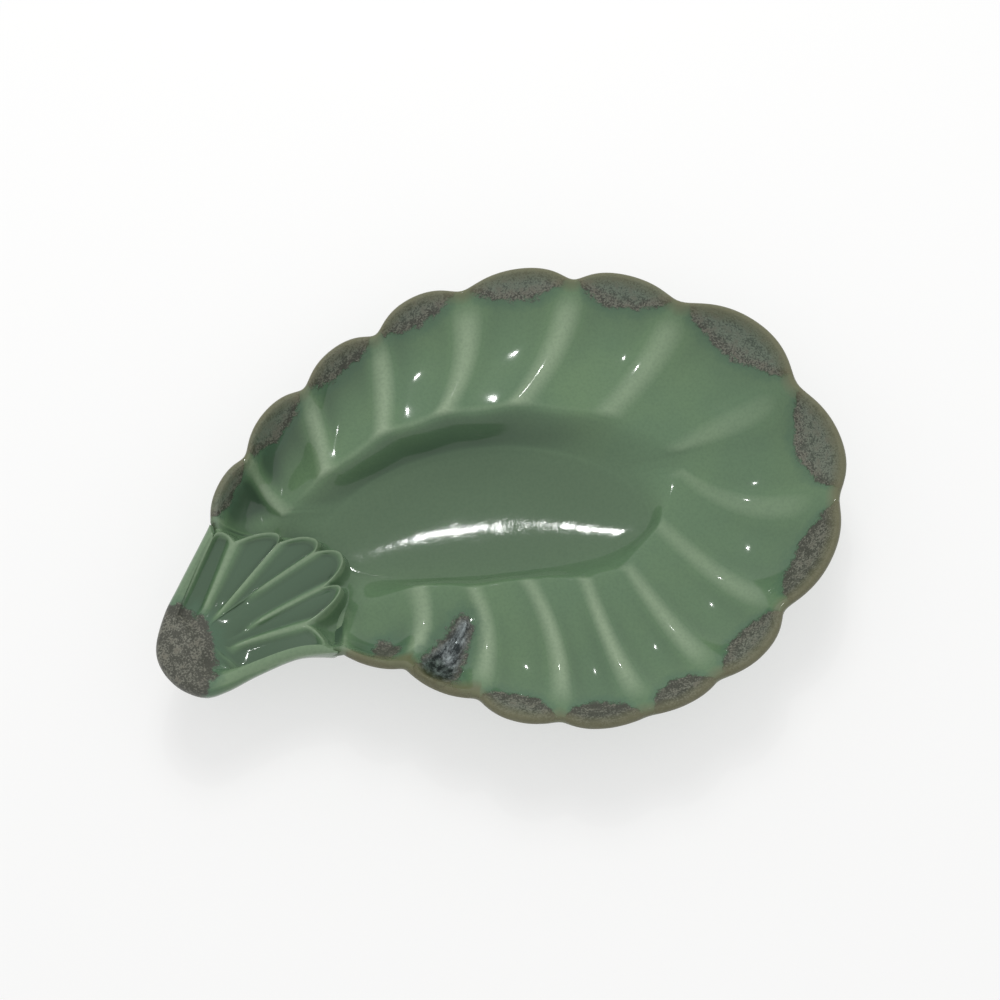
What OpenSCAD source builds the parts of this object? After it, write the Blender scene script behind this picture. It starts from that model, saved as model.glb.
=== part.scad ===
// Leaf shaped glazed serving plate: a scalloped leaf with fluted sides round a deep oval
// well, a stem grip with a fan of petals, and an oval foot ring underneath.
// X runs along the leaf, from the grip to the far edge, and Z is up from the table.

/* [Plate] */
// Length over the rim and the grip
plate_l = 260; // [200:1:340]
// Width over the rim
plate_w = 182; // [140:1:240]
// Height of the rim above the table
rim_h = 36; // [32:0.5:46]
// How much lower the rim is between two lobes
notch_drop = 2; // [0:0.25:4]
// Thickness of the clay wall
wall_t = 4.8; // [3.5:0.1:6.5]
// Thickness of the floor
floor_t = 5; // [4:0.25:8]

/* [Flutes] */
// Height of the crest where the flutes meet the well
crest_h = 25; // [21:0.5:28]
// How far a ridge's inner end stands above the crest
ridge_rise = 1.1; // [0.5:0.1:2.5]
// How far the floor of a flute dips below its straight run
flute_dip = 2.2; // [0.5:0.1:3]
// How far the crest bows in towards the well at each flute
crest_bow = 1.25; // [0.5:0.25:4]

/* [Well] */
// Length of the well's floor
well_l = 122; // [100:1:140]
// Width of the well's floor
well_w = 50; // [36:1:60]
// Rise of the floor from its middle to its edge
well_rise = 4.5; // [1:0.25:6]

/* [Grip] */
// Height of the grip's bead above the table
grip_h = 35; // [31:0.5:42]
// Thickness of the grip at its tip
grip_t = 9; // [7:0.25:12]
// Width of the bead round the grip
bead_w = 6; // [4:0.25:9]
// Depth of the petals' grooves
petal_d = 2.1; // [0.5:0.1:2.8]
// Depth of the thumb hollow beside the bead
thumb_d = 1.8; // [0.5:0.1:2.5]
// Height of the low stretch of rim that the grip lies over
saddle_h = 24.5; // [20:0.5:26]
// Slip between the grip and the leaf
slip_gap = 0.3; // [0.15:0.05:0.5]

/* [Foot] */
// Height of the foot ring
foot_h = 3; // [2:0.25:5]
// Width of the foot ring where it joins the floor
foot_w = 7; // [5:0.25:9]
// Width of the land that the plate rests on
land_w = 3.6; // [2.5:0.1:4.5]

/* [Hidden] */

// Columns of points in a lobe, in a petal of the fan, round the grip's outline and the foot
lobe_n = 12;
petal_n = 8;
grip_n = 36;
foot_n = 72;

// Rim notches, clockwise from the grip's left root to its right root, as shares of the plate
rim_shares = [
    [-.386, .123], [-.316, .243], [-.211, .353], [-.091, .428],
    [.047, .475], [.208, .433], [.344, .319], [.459, .072],
    [.454, -.184], [.323, -.371], [.207, -.466], [.104, -.493],
    [-.009, -.455], [-.105, -.367], [-.186, -.270], [-.262, -.205]];
// How far each lobe bows out, as a share of its chord, and where along the chord its top is
lobe_bow_shares = [.127, .156, .165, .181, .157, .150, .205, .176, .155, .165,
    .110, .137, .166, .130, .118];
lobe_top_shares = [.50, .52, .52, .50, .55, .46, .52, .55, .50, .48, .48, .56, .53, .49, .46];
// Half way points of the ridges between the roots, as shares of the plate
ridge_shares = [
    [-.302, .186], [-.209, .265], [-.099, .339], [.025, .345],
    [.154, .313], [.283, .232], [.370, .056], [.337, -.112],
    [.265, -.240], [.174, -.304], [.090, -.326], [.019, -.305],
    [-.068, -.250], [-.145, -.185]];
// Inner ends of those ridges, where they run into the crest of the well
crest_shares = [
    [-.290, .143], [-.216, .194], [-.121, .241], [-.028, .247],
    [.080, .223], [.204, .150], [.286, .034], [.279, -.011],
    [.217, -.114], [.151, -.195], [.087, -.195], [.010, -.164],
    [-.065, -.148], [-.134, -.107]];
// Height of the crest at each ridge, as shares of the crest height
crest_h_shares = [.64, .88, .99, 1, 1, .92, .75, .63, .71, .86, .97, 1, .97, .88];
// Soft notches draw the outline in, so the plan is drawn this much larger each way
reach_shares = [1.0117, 1.0094];
// Middle of the well's floor, as shares of the plate
well_mid_shares = [-.013, .035];
// Bend of the well's long axis, as a share of its length
well_bend_share = .06;
well_tilt = -11;
// Directions of the two ends of the floor's edge under the grip, before the tilt
root_turns = [173, 202];

// Point that the petals spread from, as shares of the plate
fan_mid_shares = [-.429, -.106];
// Crest of the fan's edge, at each junction and petal tip, as shares of plate and rim height
fan_shares = [
    [-.387, .088, .955], [-.373, .097, .917], [-.362, .074, .861], [-.310, .077, .819],
    [-.306, .056, .750], [-.259, .053, .694], [-.261, .026, .625], [-.225, .006, .569],
    [-.262, -.045, .569], [-.242, -.067, .611], [-.298, -.117, .694], [-.281, -.160, .806],
    [-.285, -.183, .917]];
// Where the ridge at each junction starts, and how far out from the middle it rises
fan_root_shares = [
    [-.4575, -.036], [-.436, -.072], [-.427, -.086], [-.412, -.073], [-.404, -.117],
    [-.402, -.132], [-.395, -.180]];
fan_fade_shares = [0, .12, .08, .35, .25, .15, .5];
// Foot of the fan's edge on the leaf: share of the way round the root, and way down the side
seam_shares = [
    [1, .04], [1, .12], [1, .45], [1, .95], [1, 1.3], [1, 1.82], [.85, 2.07],
    [.55, 2.17], [.28, 2.14], [.06, 2.03], [0, 1.4], [0, .70], [0, .12]];
// Outline of the grip from its right root round the tip to its left root
grip_shares = [
    [-.262, -.205], [-.315, -.191], [-.372, -.200], [-.419, -.214], [-.450, -.213],
    [-.479, -.182], [-.4955, -.137], [-.4955, -.091], [-.475, -.033], [-.448, .016],
    [-.403, .094], [-.386, .123]];
// Control point of the saddle's curve in plan, as shares of the plate
saddle_shares = [-.395, -.12];
// Middle of the grip's underside, as shares of the plate
under_mid_shares = [-.43, -.10];
// Behind each point of that outline: where the hollow starts, how wide the bead is, how deep
// the hollow is and how level the grip is
grip_root_shares = [
    [-.395, -.180], [-.404, -.178], [-.414, -.172], [-.430, -.163], [-.448, -.149],
    [-.457, -.130], [-.460, -.111], [-.461, -.088], [-.461, -.066], [-.460, -.054],
    [-.459, -.044], [-.4575, -.036]];
bead_shares = [1, 1, 1, 1, 1, 1, 1, .9, .6, .45, .45, .45];
hollow_shares = [0, .6, 1, .9, .1, -.45, -.5, -.3, 0, 0, 0, 0];
level_shares = [0, 0, 0, .2, .9, 1, 1, 1, .8, .6, .6, .6];

// Ways down the inside, 0 at the rim, 1 at the crest, 2 at the floor's edge, 3 at its middle
inner_ways = [2.65, 2.3, 2, 1.75, 1.5, 1.25, 1, .82, .64, .46, .28, .12, 0];
// Rings out from the fan's middle, as shares of the way to its crest
fan_ring_shares = [.18, .36, .52, .66, .78, .88, .95, 1];
seat_ring_shares = [.2, .45, .7, .88];
// Rings under the grip, as shares of the way from its outline to the middle underneath
under_ring_shares = [.03, .09, .18, .29, .40, .51, .62, .75, .88];
// The same rings where the outline runs into the leaf, so that they close up at the root
root_ring_shares = [.01, .02, .03, .04, .05, .07, .12, .4, .7];
under_drop_shares = [.32, .9, 1, 1, 1, 1, 1, 1, 1];
// Rings from the fan's root to the middle underneath
tuck_ring_shares = [.35, .68];

// Exponents of the flute's and the ridge's rise to the rim, and of a ridge's narrowness
flute_power = 3.8;
ridge_power = 1.25;
ridge_narrow = 9;
// Share of a ridge's height that its broad base has, and of it that shows underneath
ridge_base_share = .3;
ridge_back_share = .35;
// Roundness of a lobe, softness of a notch and how far columns close up towards it
lobe_power = 2.2;
notch_soft_share = .04;
notch_pull_share = .0625;
// Where half way and the crest lie between the rim and the floor's edge at the root, and how
// the leaf sags there
root_half_share = .25;
root_crest_share = .5;
root_sag_power = 3;
// Petals of the fan: roundness of a tip in plan, width of a ridge's side as a share of the
// bead, depth at the root, and the start and run of the grooves and of the ridges
tip_power = 2.4;
petal_side_share = .36;
petal_root_share = .55;
groove_start_share = .1;
groove_run_share = .3;
fade_run_share = .2;
fan_droop_power = 1.3;
// Rise from the fan's middle to the bead, and the runs of the level tip and of the hollow
bead_rise_power = 3;
level_run_share = .4;
hollow_run_share = .45;
// How close to its ends the grip's outline turns into the leaf, and the step along it that
// gives its direction
root_blend_power = 8;
line_step_share = .1;
// Height of the outline under the bead, and drop of the fan's root, as shares of the grip
bead_side_share = .4;
root_drop_share = .45;
// Rounding of the rim as shares of the wall
lip_top_share = .34;
lip_side_share = .26;
lip_back_share = .25;
lip_under_share = .75;
// Ways down of the points behind the flutes, and of the bend where the skirt starts
back_ways = [.38, .78];
skirt_way = 1.2;
skirt_drop_share = .35;
// How far the skirt's foot stands out past the foot ring, as a share of the wall
skirt_out_share = .125;
// Height of the foot ring's shoulder as a share of the ring
shoulder_share = .333;
// Step of the fan's edge: shares of its run and of its drop, at the shoulder and below it
step_run_shares = [.1, .3];
step_drop_shares = [.24, .78];
// Round of the bead from its crest to the outline, the same way
bead_run_shares = [.5, .87];
bead_drop_shares = [.13, .5];

petals = (len(fan_shares) - 1) / 2;
fan_n = petals * petal_n;
lobes = len(rim_shares) - 1;
floor_z = foot_h + floor_t;
edge_z = floor_z + well_rise;
well_mid = in_plan(well_mid_shares);
fan_mid = in_plan(fan_mid_shares);
under_mid = in_plan(under_mid_shares);

function in_plan(p) = [p.x * plate_l * reach_shares.x, p.y * plate_w * reach_shares.y];
function mix(a, b, t) = a + (b - a) * t;
function side_of(a, b) = let (d = b - a) [-d.y, d.x] / norm(d);
function soft_step(v) = let (c = clamp(v, 0, 1)) c * c * (3 - 2 * c);
function clamp(v, low, high) = max(low, min(high, v));
function spline(p, t) =
    let (i = clamp(floor(t), 0, len(p) - 2), f = t - i,
        a = p[max(i - 1, 0)], b = p[i], c = p[i + 1], d = p[min(i + 2, len(p) - 1)])
    (b * 2 + (c - a) * f + (a * 2 - b * 5 + c * 4 - d) * f * f
        + (b * 3 - a - c * 3 + d) * f * f * f) / 2;

// Floor of the well: an oval, tilted, with its long axis bent like the leaf's midrib
function oval(turn, out = 0) =
    let (x = (well_l / 2 + out) * cos(turn), y = (well_w / 2 + out) * sin(turn),
        bent = y - well_bend_share * well_l * pow(x / (well_l / 2), 2))
    well_mid + [x * cos(well_tilt) - bent * sin(well_tilt),
        x * sin(well_tilt) + bent * cos(well_tilt)];
function turn_to(p) =
    let (d = p - well_mid,
        x = d.x * cos(well_tilt) + d.y * sin(well_tilt),
        y = d.y * cos(well_tilt) - d.x * sin(well_tilt)
            + well_bend_share * well_l * pow(x / (well_l / 2), 2))
    atan2(y / well_w, x / well_l);
function unwrap(turn, before) = turn > before ? unwrap(turn - 360, before) : turn;

// Stations at the notches: the rim, the turn on the floor's edge, the crest and half way
rim = [for (p = rim_shares) in_plan(p)];
turns = [root_turns[0], for (k = [1 : lobes - 1])
    unwrap(turn_to(in_plan(crest_shares[k - 1])), root_turns[0]), root_turns[1] - 360];
crest = [mix(rim[0], oval(turns[0]), root_crest_share), for (p = crest_shares) in_plan(p),
    mix(rim[lobes], oval(turns[lobes]), root_crest_share)];
half = [mix(rim[0], oval(turns[0]), root_half_share), for (p = ridge_shares) in_plan(p),
    mix(rim[lobes], oval(turns[lobes]), root_half_share)];
crest_share = [crest_h_shares[0], for (h = crest_h_shares) h, crest_h_shares[lobes - 2]];

// Outline of the rim: lobe t - floor(t) along, bowed over the chord between two notches
function sharp_rim(t) =
    let (k = clamp(floor(t), 0, lobes - 1), f = clamp(t, 0, lobes) - k,
        a = rim[k], b = rim[k + 1],
        bow = 1 - pow(abs(2 * f - 1), lobe_power),
        along = f + (lobe_top_shares[k] - .5) * 4 * f * (1 - f))
    mix(a, b, along) + side_of(a, b) * norm(b - a) * lobe_bow_shares[k] * bow;
function soft_rim(t) =
    (sharp_rim(t - 2 * notch_soft_share) + sharp_rim(t - notch_soft_share) * 4
        + sharp_rim(t) * 6 + sharp_rim(t + notch_soft_share) * 4
        + sharp_rim(t + 2 * notch_soft_share)) / 16;
function ridge(f) = mix(pow(abs(cos(180 * f)), ridge_narrow), pow(cos(180 * f), 2),
    ridge_base_share);

// One section of a lobe: outline, half way, crest, floor's edge, heights and blends
function lobe_section(t) =
    let (k = min(floor(t), lobes - 1), f = t - k, arch = 4 * f * (1 - f),
        edge = oval(mix(turns[k], turns[k + 1], f)),
        top = mix(crest[k], crest[k + 1], f)
            - side_of(crest[k], crest[k + 1]) * crest_bow * arch,
        out = soft_rim(t),
        mid = mix(half[k], half[k + 1], f)
            + side_of(half[k], half[k + 1]) * (norm(rim[k + 1] - rim[k])
            * lobe_bow_shares[k] - crest_bow) / 2 * arch)
    [out, mid, top, edge, rim_h - notch_drop * ridge(f),
        crest_h * mix(crest_share[k], crest_share[k + 1], f),
        k == 0 ? ridge(f) * soft_step(2 * f) : ridge(f),
        k == 0 ? pow(1 - f, 2) : k == lobes - 1 ? f * f : 0];
// One section of the root that the grip covers, g from its right end to its left end
function root_section(g) =
    let (edge = oval(mix(turns[lobes], turns[0] - 360, g)),
        a = soft_rim(lobes), b = soft_rim(0), c = in_plan(saddle_shares),
        out = a * (1 - g) * (1 - g) + c * 2 * g * (1 - g) + b * g * g,
        high = rim_h - notch_drop,
        rim_z = saddle_h + (high - saddle_h) * pow(1 - sin(180 * g), 3))
    [out, mix(out, edge, root_half_share), mix(out, edge, root_crest_share), edge, rim_z,
        mix(rim_z, edge_z, root_crest_share), 1, 1];

function inward(s) = (s[1] - s[0]) / norm(s[1] - s[0]);
// Slope of the well's wall at the floor's edge, so that it runs on into the dished floor
function lean(s) = 2 * well_rise / norm(s[3] - well_mid) * norm(s[2] - s[3]) / (s[5] - edge_z);
// Height of the inside, w the way down, with that share of the ridge
function side_z(s, w, share = 1) =
    let (u = min(w, 1), v = clamp(w - 1, 0, 1),
        flute = s[5] + (s[4] - s[5]) * pow(1 - u, flute_power) - flute_dip * sin(180 * u),
        spine = s[5] + ridge_rise + (s[4] - s[5] - ridge_rise) * pow(1 - u, ridge_power),
        shaped = mix(flute, spine, s[6] * share),
        sunk = mix(shaped, edge_z, v * v * (3 - 2 * v - lean(s) * (1 - v))),
        straight = mix(edge_z, s[4], pow(1 - clamp(w, 0, 2) / 2, root_sag_power)))
    mix(sunk, straight, s[7]);
function side_xy(s, w) =
    let (top = s[0] + inward(s) * wall_t * lip_top_share, u = min(w, 1), v = clamp(w - 1, 0, 1),
        run = top * (1 - u) * (1 - 2 * u) + s[1] * 4 * u * (1 - u) + s[2] * u * (2 * u - 1),
        root = mix(top, s[3], clamp(w, 0, 2) / 2))
    mix(mix(run, s[3], v), root, s[7]);
function inner_point(s, w) = w <= 2
    ? concat(side_xy(s, w), side_z(s, w))
    : concat(mix(s[3], well_mid, w - 2), floor_z + well_rise * pow(3 - w, 2));

// Outside of a section: lip, three points down the back, the foot of the wall and the floor
function back_point(s, w) = concat(side_xy(s, w), side_z(s, w, ridge_back_share) - wall_t);
function outer_points(s) =
    let (n = inward(s), away = (s[2] - s[3]) / norm(s[2] - s[3]))
    [concat(s[0], s[4] - wall_t * lip_side_share),
        concat(s[0] + n * wall_t * lip_back_share, s[4] - wall_t * lip_under_share),
        for (w = back_ways) back_point(s, w),
        concat(mix(s[2], s[3], skirt_way - 1) + away * wall_t / 2,
            mix(side_z(s, skirt_way), foot_h, skirt_drop_share)),
        concat(s[3] + away * (foot_w + wall_t) / 2, foot_h + wall_t / 2),
        concat(s[3] + away * (foot_w / 2 + wall_t * skirt_out_share), foot_h)];

sections = [
    for (i = [0 : lobes * lobe_n - 1])
        let (k = floor(i / lobe_n), f = i / lobe_n - k)
        lobe_section(k + f - sin(360 * f) * notch_pull_share),
    for (i = [0 : fan_n - 1]) root_section(i / fan_n)];
leaf_rings = concat(
    [for (w = inner_ways) [for (s = sections) inner_point(s, w)]],
    [for (j = [0 : len(outer_points(sections[0])) - 1]) [for (s = sections) outer_points(s)[j]]]);

// Crest of the fan's edge, bowed through a petal's tip from one junction to the next
function fan_z(p) = concat(in_plan(p), p[2] * rim_h);
function fan_crest(i) =
    let (q = min(floor(i / petal_n), petals - 1), f = i / petal_n - q,
        a = fan_z(fan_shares[2 * q]), tip = fan_z(fan_shares[2 * q + 1]),
        b = fan_z(fan_shares[2 * q + 2]), bow = 1 - pow(abs(2 * f - 1), tip_power))
    mix(a, b, f) + (tip - (a + b) / 2) * bow;
function seam(i) = spline(seam_shares, i * 2 / petal_n);
function spot(p) = [p.x, p.y];

// A way out from the fan's middle, turning at a root on its way to the crest
function out_way(root, end, r) =
    let (near = norm(root - fan_mid), turn = near / (near + norm(end - root)))
    r < turn ? mix(fan_mid, root, r / turn) : mix(root, end, (r - turn) / (1 - turn));
function fan_root(q) = in_plan(fan_root_shares[q]);
function fade(q, r) = soft_step((r - fan_fade_shares[q]) / fade_run_share);
// Top of the fan at a column and a share of the way out: round ridges of one width, which
// start at the junctions' roots, between grooves that close before the petals' tips
function fan_top(i, r) =
    let (q = min(floor(i / petal_n), petals - 1), f = i / petal_n - q, top = fan_crest(i),
        root = mix(fan_root(q), fan_root(q + 1), f), side = bead_w * petal_side_share,
        wide = norm(out_way(fan_root(q + 1), spot(fan_crest((q + 1) * petal_n)), r)
            - out_way(fan_root(q), spot(fan_crest(q * petal_n)), r)) / 2,
        ridge_side = 1 - soft_step((1 - abs(2 * f - 1)) * wide / side),
        long = norm(root - fan_mid) + norm(spot(top) - root),
        groove = soft_step((r - groove_start_share) / groove_run_share)
            * (1 - ridge_side * mix(fade(q, r), fade(q + 1, r), f))
            * soft_step((1 - r) * long / side))
    concat(out_way(root, spot(top), r),
        mix(fan_mid_z, top.z, pow(r, fan_droop_power))
            - petal_d * mix(petal_root_share, 1, r) * groove);

// One column of the fan, from its middle over the crest and along the seat to underneath
function fan_column(i) =
    let (top = fan_crest(i), way = seam(i), g = 1 - i / fan_n, s = root_section(g),
        foot = seat_point(root_section(way.x), way.y),
        outer = outer_points(s), n = -inward(s) * slip_gap,
        root = outer[1] + concat(n, -grip_t * root_drop_share * sin(180 * g)))
    [for (r = fan_ring_shares) fan_top(i, r),
        for (j = [0, 1])
            concat(mix(spot(top), spot(foot), step_run_shares[j]),
                mix(top.z, foot.z, step_drop_shares[j])),
        foot,
        for (r = seat_ring_shares)
            seat_point(root_section(mix(way.x, g, r)), mix(way.y, 0, r)),
        seat_point(s, 0),
        outer[0] + concat(n, 0),
        root,
        for (r = tuck_ring_shares) mix(root, concat(under_mid, under_z), r)];
function seat_point(s, w) = inner_point(s, w) + [0, 0, slip_gap];
fan_mid_z = rim_h * fan_shares[0].z - petal_d;
under_z = grip_h - grip_t;

// One column of the grip's outline, x from its right root round the tip to its left root
grip_line = [for (p = grip_shares) in_plan(p)];
function grip_column(i) =
    let (x = i / grip_n, at = x * (len(grip_line) - 1), edge = spline(grip_line, at),
        step = spline(grip_line, at + line_step_share) - spline(grip_line, at - line_step_share),
        n = [step.y, -step.x] / norm(step), ends = pow(abs(2 * x - 1), root_blend_power),
        near = i < grip_n / 2 ? fan_n : 0,
        root = in_plan(spline(grip_root_shares, at)),
        inset = concat(edge + n * bead_w * spline(bead_shares, at) / 2, grip_h),
        top = mix(inset, fan_crest(near), ends), reach = norm(spot(inset) - fan_mid),
        side_z = mix(grip_h - grip_t * bead_side_share,
            rim_h - notch_drop - wall_t * lip_back_share, ends),
        low_z = mix(under_z, rim_h - notch_drop - wall_t, ends),
        hollow = thumb_d * spline(hollow_shares, at),
        level = clamp(spline(level_shares, at), 0, 1))
    [for (r = fan_ring_shares)
            let (rise = mix(pow(r, bead_rise_power), soft_step(r / level_run_share), level),
                dip = soft_step(r / hollow_run_share) * soft_step((1 - r) * reach / bead_w))
            mix(concat(out_way(root, spot(inset), r), mix(fan_mid_z, grip_h, rise) - hollow * dip),
                fan_top(near, r), ends),
        for (j = [0, 1])
            concat(mix(spot(top), edge, bead_run_shares[j]),
                mix(top.z, side_z, bead_drop_shares[j])),
        concat(edge, side_z),
        for (j = [0 : len(under_ring_shares) - 1])
            let (r = mix(under_ring_shares[j], root_ring_shares[j], ends))
            concat(mix(edge, under_mid, r),
                mix(mix(side_z, low_z, under_drop_shares[j]), under_z, r))];
grip_columns = [
    for (i = [0 : fan_n]) fan_column(i),
    for (i = [1 : grip_n - 1]) grip_column(i)];
grip_rings = [for (j = [0 : len(grip_columns[0]) - 1]) [for (c = grip_columns) c[j]]];

// The plate stands with the middle of its outline over the origin
outline = concat(leaf_rings[len(inner_ways)], grip_rings[len(fan_ring_shares) + 2]);
xs = [for (p = outline) p.x];
ys = [for (p = outline) p.y];
middle = [(min(xs) + max(xs)) / 2, (min(ys) + max(ys)) / 2, 0];

// A closed skin of rings between a top pole and a bottom pole, clockwise seen from above
module ringed(top, rings, bottom) {
    n = len(rings[0]);
    last = len(rings) - 1;
    polyhedron(
        points = [top, for (r = rings) each r, bottom],
        faces = [
            for (i = [0 : n - 1]) [0, 1 + i, 1 + (i + 1) % n],
            for (j = [0 : last - 1], i = [0 : n - 1])
                let (a = 1 + j * n + i, b = 1 + j * n + (i + 1) % n)
                each [[a, a + n, b + n], [a, b + n, b]],
            for (i = [0 : n - 1])
                [1 + last * n + i, 1 + (last + 1) * n, 1 + last * n + (i + 1) % n]]);
}

module leaf_shell() {
    color("#6c876b")
        translate(-middle)
            ringed(concat(well_mid, floor_z), leaf_rings, concat(well_mid, foot_h));
}

module handle() {
    color("#7d9678")
        translate(-middle)
            ringed(concat(fan_mid, fan_mid_z), grip_rings, concat(under_mid, under_z));
}

// The ring is round in section on its sides and flat on the land and where it joins
module foot_ring() {
    slope = (foot_w - land_w) / 2;
    shoulder = foot_h * shoulder_share;
    profile = [[-foot_w / 2, foot_h], [-foot_w / 2 + slope / 2, shoulder],
        [-land_w / 2, 0], [land_w / 2, 0],
        [foot_w / 2 - slope / 2, shoulder], [foot_w / 2, foot_h]];
    n = len(profile);
    color("#8a8373")
        translate(-middle)
            polyhedron(
                points = [for (i = [0 : foot_n - 1], p = profile)
                    concat(oval(-360 * i / foot_n, p.x), p.y)],
                faces = [for (i = [0 : foot_n - 1], j = [0 : n - 1])
                    let (a = i * n + j, b = i * n + (j + 1) % n,
                        c = (i + 1) % foot_n * n + (j + 1) % n, d = (i + 1) % foot_n * n + j)
                    each [[a, c, b], [a, d, c]]]);
}

leaf_shell();
handle();
foot_ring();
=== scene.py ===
"""Looks of a leaf shaped glazed serving plate: the leaf, its stem grip and its foot ring.

Sizes are in millimetres until a mesh is made. X runs along the leaf, from the grip to the far
edge, and the plate stands on its foot ring at Z zero, as in the frame.
"""

import math

import bpy
import numpy as np
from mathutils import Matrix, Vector
from mathutils.bvhtree import BVHTree


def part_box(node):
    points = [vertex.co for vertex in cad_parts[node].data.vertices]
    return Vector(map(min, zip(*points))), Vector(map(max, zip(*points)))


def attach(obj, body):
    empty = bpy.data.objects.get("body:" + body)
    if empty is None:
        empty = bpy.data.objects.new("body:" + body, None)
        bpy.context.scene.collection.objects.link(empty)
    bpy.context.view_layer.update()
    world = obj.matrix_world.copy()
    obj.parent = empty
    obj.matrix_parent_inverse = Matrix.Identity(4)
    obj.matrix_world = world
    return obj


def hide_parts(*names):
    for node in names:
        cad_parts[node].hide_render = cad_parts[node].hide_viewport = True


MM = 0.001

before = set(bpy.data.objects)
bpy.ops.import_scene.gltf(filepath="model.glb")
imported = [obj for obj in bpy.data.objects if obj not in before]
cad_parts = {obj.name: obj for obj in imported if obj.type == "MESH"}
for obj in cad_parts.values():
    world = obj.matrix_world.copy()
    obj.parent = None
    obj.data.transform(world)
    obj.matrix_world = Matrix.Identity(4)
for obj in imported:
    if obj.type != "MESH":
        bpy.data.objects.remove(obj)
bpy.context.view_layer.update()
leaf_box = [np.array(corner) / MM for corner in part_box("leaf_shell")]
grip_box = [np.array(corner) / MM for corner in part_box("handle")]
foot_box = [np.array(corner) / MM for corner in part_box("foot_ring")]

# Sizes of the plate. Heights come from the frame, and the plan is drawn at the nominal size.
PLATE_L = 260
PLATE_W = 182
RIM_H = leaf_box[1][2]
NOTCH_DROP = 2
WALL_T = 4.8
FLOOR_T = 5
CREST_H = 25
CREST_BOW = 1.25
WELL_L = 122
WELL_W = 50
WELL_RISE = 4.5
SADDLE_H = 24.5
# The grip is crowned by that much over the crest of its bead
GRIP_CROWN = .94
GRIP_H = grip_box[1][2] - GRIP_CROWN
GRIP_T = 9
BEAD_W = 6
HOLLOW_D = 1.8
PETAL_D = 2.3
MID_DROP = 2.1
FOOT_H = foot_box[1][2]
FOOT_W = 7
FOOT_ROUND = .7
LAND_W = 3.6
FLOOR_Z = FOOT_H + FLOOR_T
EDGE_Z = FLOOR_Z + WELL_RISE

# Heights of the leaf: how far a ridge's inner end stands above the crest, how far a flute and
# a ridge dip below their rise to the rim, the powers of both rises, and how much of a ridge
# shows behind. The dip is a cubic that this scale brings to 1 where it is deepest.
RIDGE_RISE = 1.1
FLUTE_DIP = 2.8
RIDGE_DIP = 1.5
FLUTE_POWER = 4
RIDGE_POWER = 2.4
RIDGE_BEHIND = .35
DIP_SCALE = 27 / 4
# Powers of the fall inside and behind at the grip's root, and of the dish of the floor, whose
# lowest place lies that far behind the middle. The skirt behind ends at that share of the wall.
ROOT_POWER = 4.5
ROOT_BEHIND = 3
SADDLE_POWER = 3
FLOOR_POWER = 2
FLOOR_SHIFT = 8
SKIRT_SHARE = .82

# The leaf's plan, as shares of the plate: notches of the rim from the grip's left root
# clockwise to its right root, how far each lobe bows out and where, then the ridges half way
# in and their inner ends, with the height of each end as a share of the crest's.
RIM_SHARES = [
    (-.386, .123), (-.316, .243), (-.211, .353), (-.091, .428),
    (.047, .475), (.208, .433), (.344, .319), (.459, .072),
    (.454, -.184), (.323, -.371), (.207, -.466), (.104, -.493),
    (-.009, -.455), (-.105, -.367), (-.186, -.270), (-.262, -.205)]
LOBE_BOW_SHARES = [.127, .156, .165, .181, .157, .150, .205, .176, .155, .165,
                   .110, .137, .166, .130, .118]
LOBE_TOP_SHARES = [.50, .52, .52, .50, .55, .46, .52, .55, .50, .48, .48, .56, .53, .49, .46]
RIDGE_SHARES = [
    (-.302, .186), (-.209, .265), (-.099, .339), (.025, .345),
    (.154, .313), (.283, .232), (.370, .056), (.337, -.112),
    (.265, -.240), (.174, -.304), (.090, -.326), (.019, -.305),
    (-.068, -.250), (-.145, -.185)]
CREST_SHARES = [
    (-.290, .143), (-.216, .194), (-.121, .241), (-.028, .247),
    (.080, .223), (.204, .150), (.286, .034), (.279, -.011),
    (.217, -.114), (.151, -.195), (.087, -.195), (.010, -.164),
    (-.065, -.148), (-.134, -.107)]
CREST_H_SHARES = [.64, .88, .99, 1, 1, .92, .75, .63, .71, .86, .97, 1, .97, .88]
# How strongly each ridge stands out, how narrow a ridge and a notch are, how much of both is a
# broad base, and how round a lobe is
VEIN_SHARES = [1, 1, 1, 1, 1, .95, .8, .5, .5, .65, .8, .9, .9, .9, .95, 1]
RIDGE_NARROW = 6
NOTCH_NARROW = 9
RIDGE_BASE_SHARE = .3
LOBE_POWER = 2.2
# How far the outline reaches past the nominal size, and the place and bend of the well
REACH_SHARES = (1.0117, 1.0094)
WELL_MID_SHARES = (-.013, .035)
WELL_BEND_SHARE = .06
WELL_TILT = -11
# The grip's root: turns of the well's edge there, its lowest place, and where half way and the
# crest lie between the rim and the floor's edge
ROOT_TURNS = (173, 202)
SADDLE_SHARES = (-.395, -.12)
ROOT_HALF_SHARE = .25
ROOT_CREST_SHARE = .5

# The fan of petals: its middle, then its edge at each junction and tip, with the height there
# as a share of the rim's
FAN_MID_SHARES = (-.429, -.106)
FAN_SHARES = [
    (-.387, .088, .955), (-.373, .097, .917), (-.362, .074, .861), (-.310, .077, .819),
    (-.306, .056, .750), (-.259, .053, .694), (-.261, .026, .625), (-.225, .006, .569),
    (-.262, -.045, .569), (-.242, -.067, .611), (-.298, -.117, .694), (-.281, -.160, .806),
    (-.285, -.183, .917)]
# Where the ridge at each junction starts, and how far out from the middle it rises
FAN_ROOT_SHARES = [
    (-.4575, -.036), (-.436, -.072), (-.427, -.086), (-.412, -.073), (-.404, -.117),
    (-.402, -.132), (-.395, -.180)]
FADE_SHARES = [0, .12, .08, .35, .25, .15, .5]
FADE_RUN = .2
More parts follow.
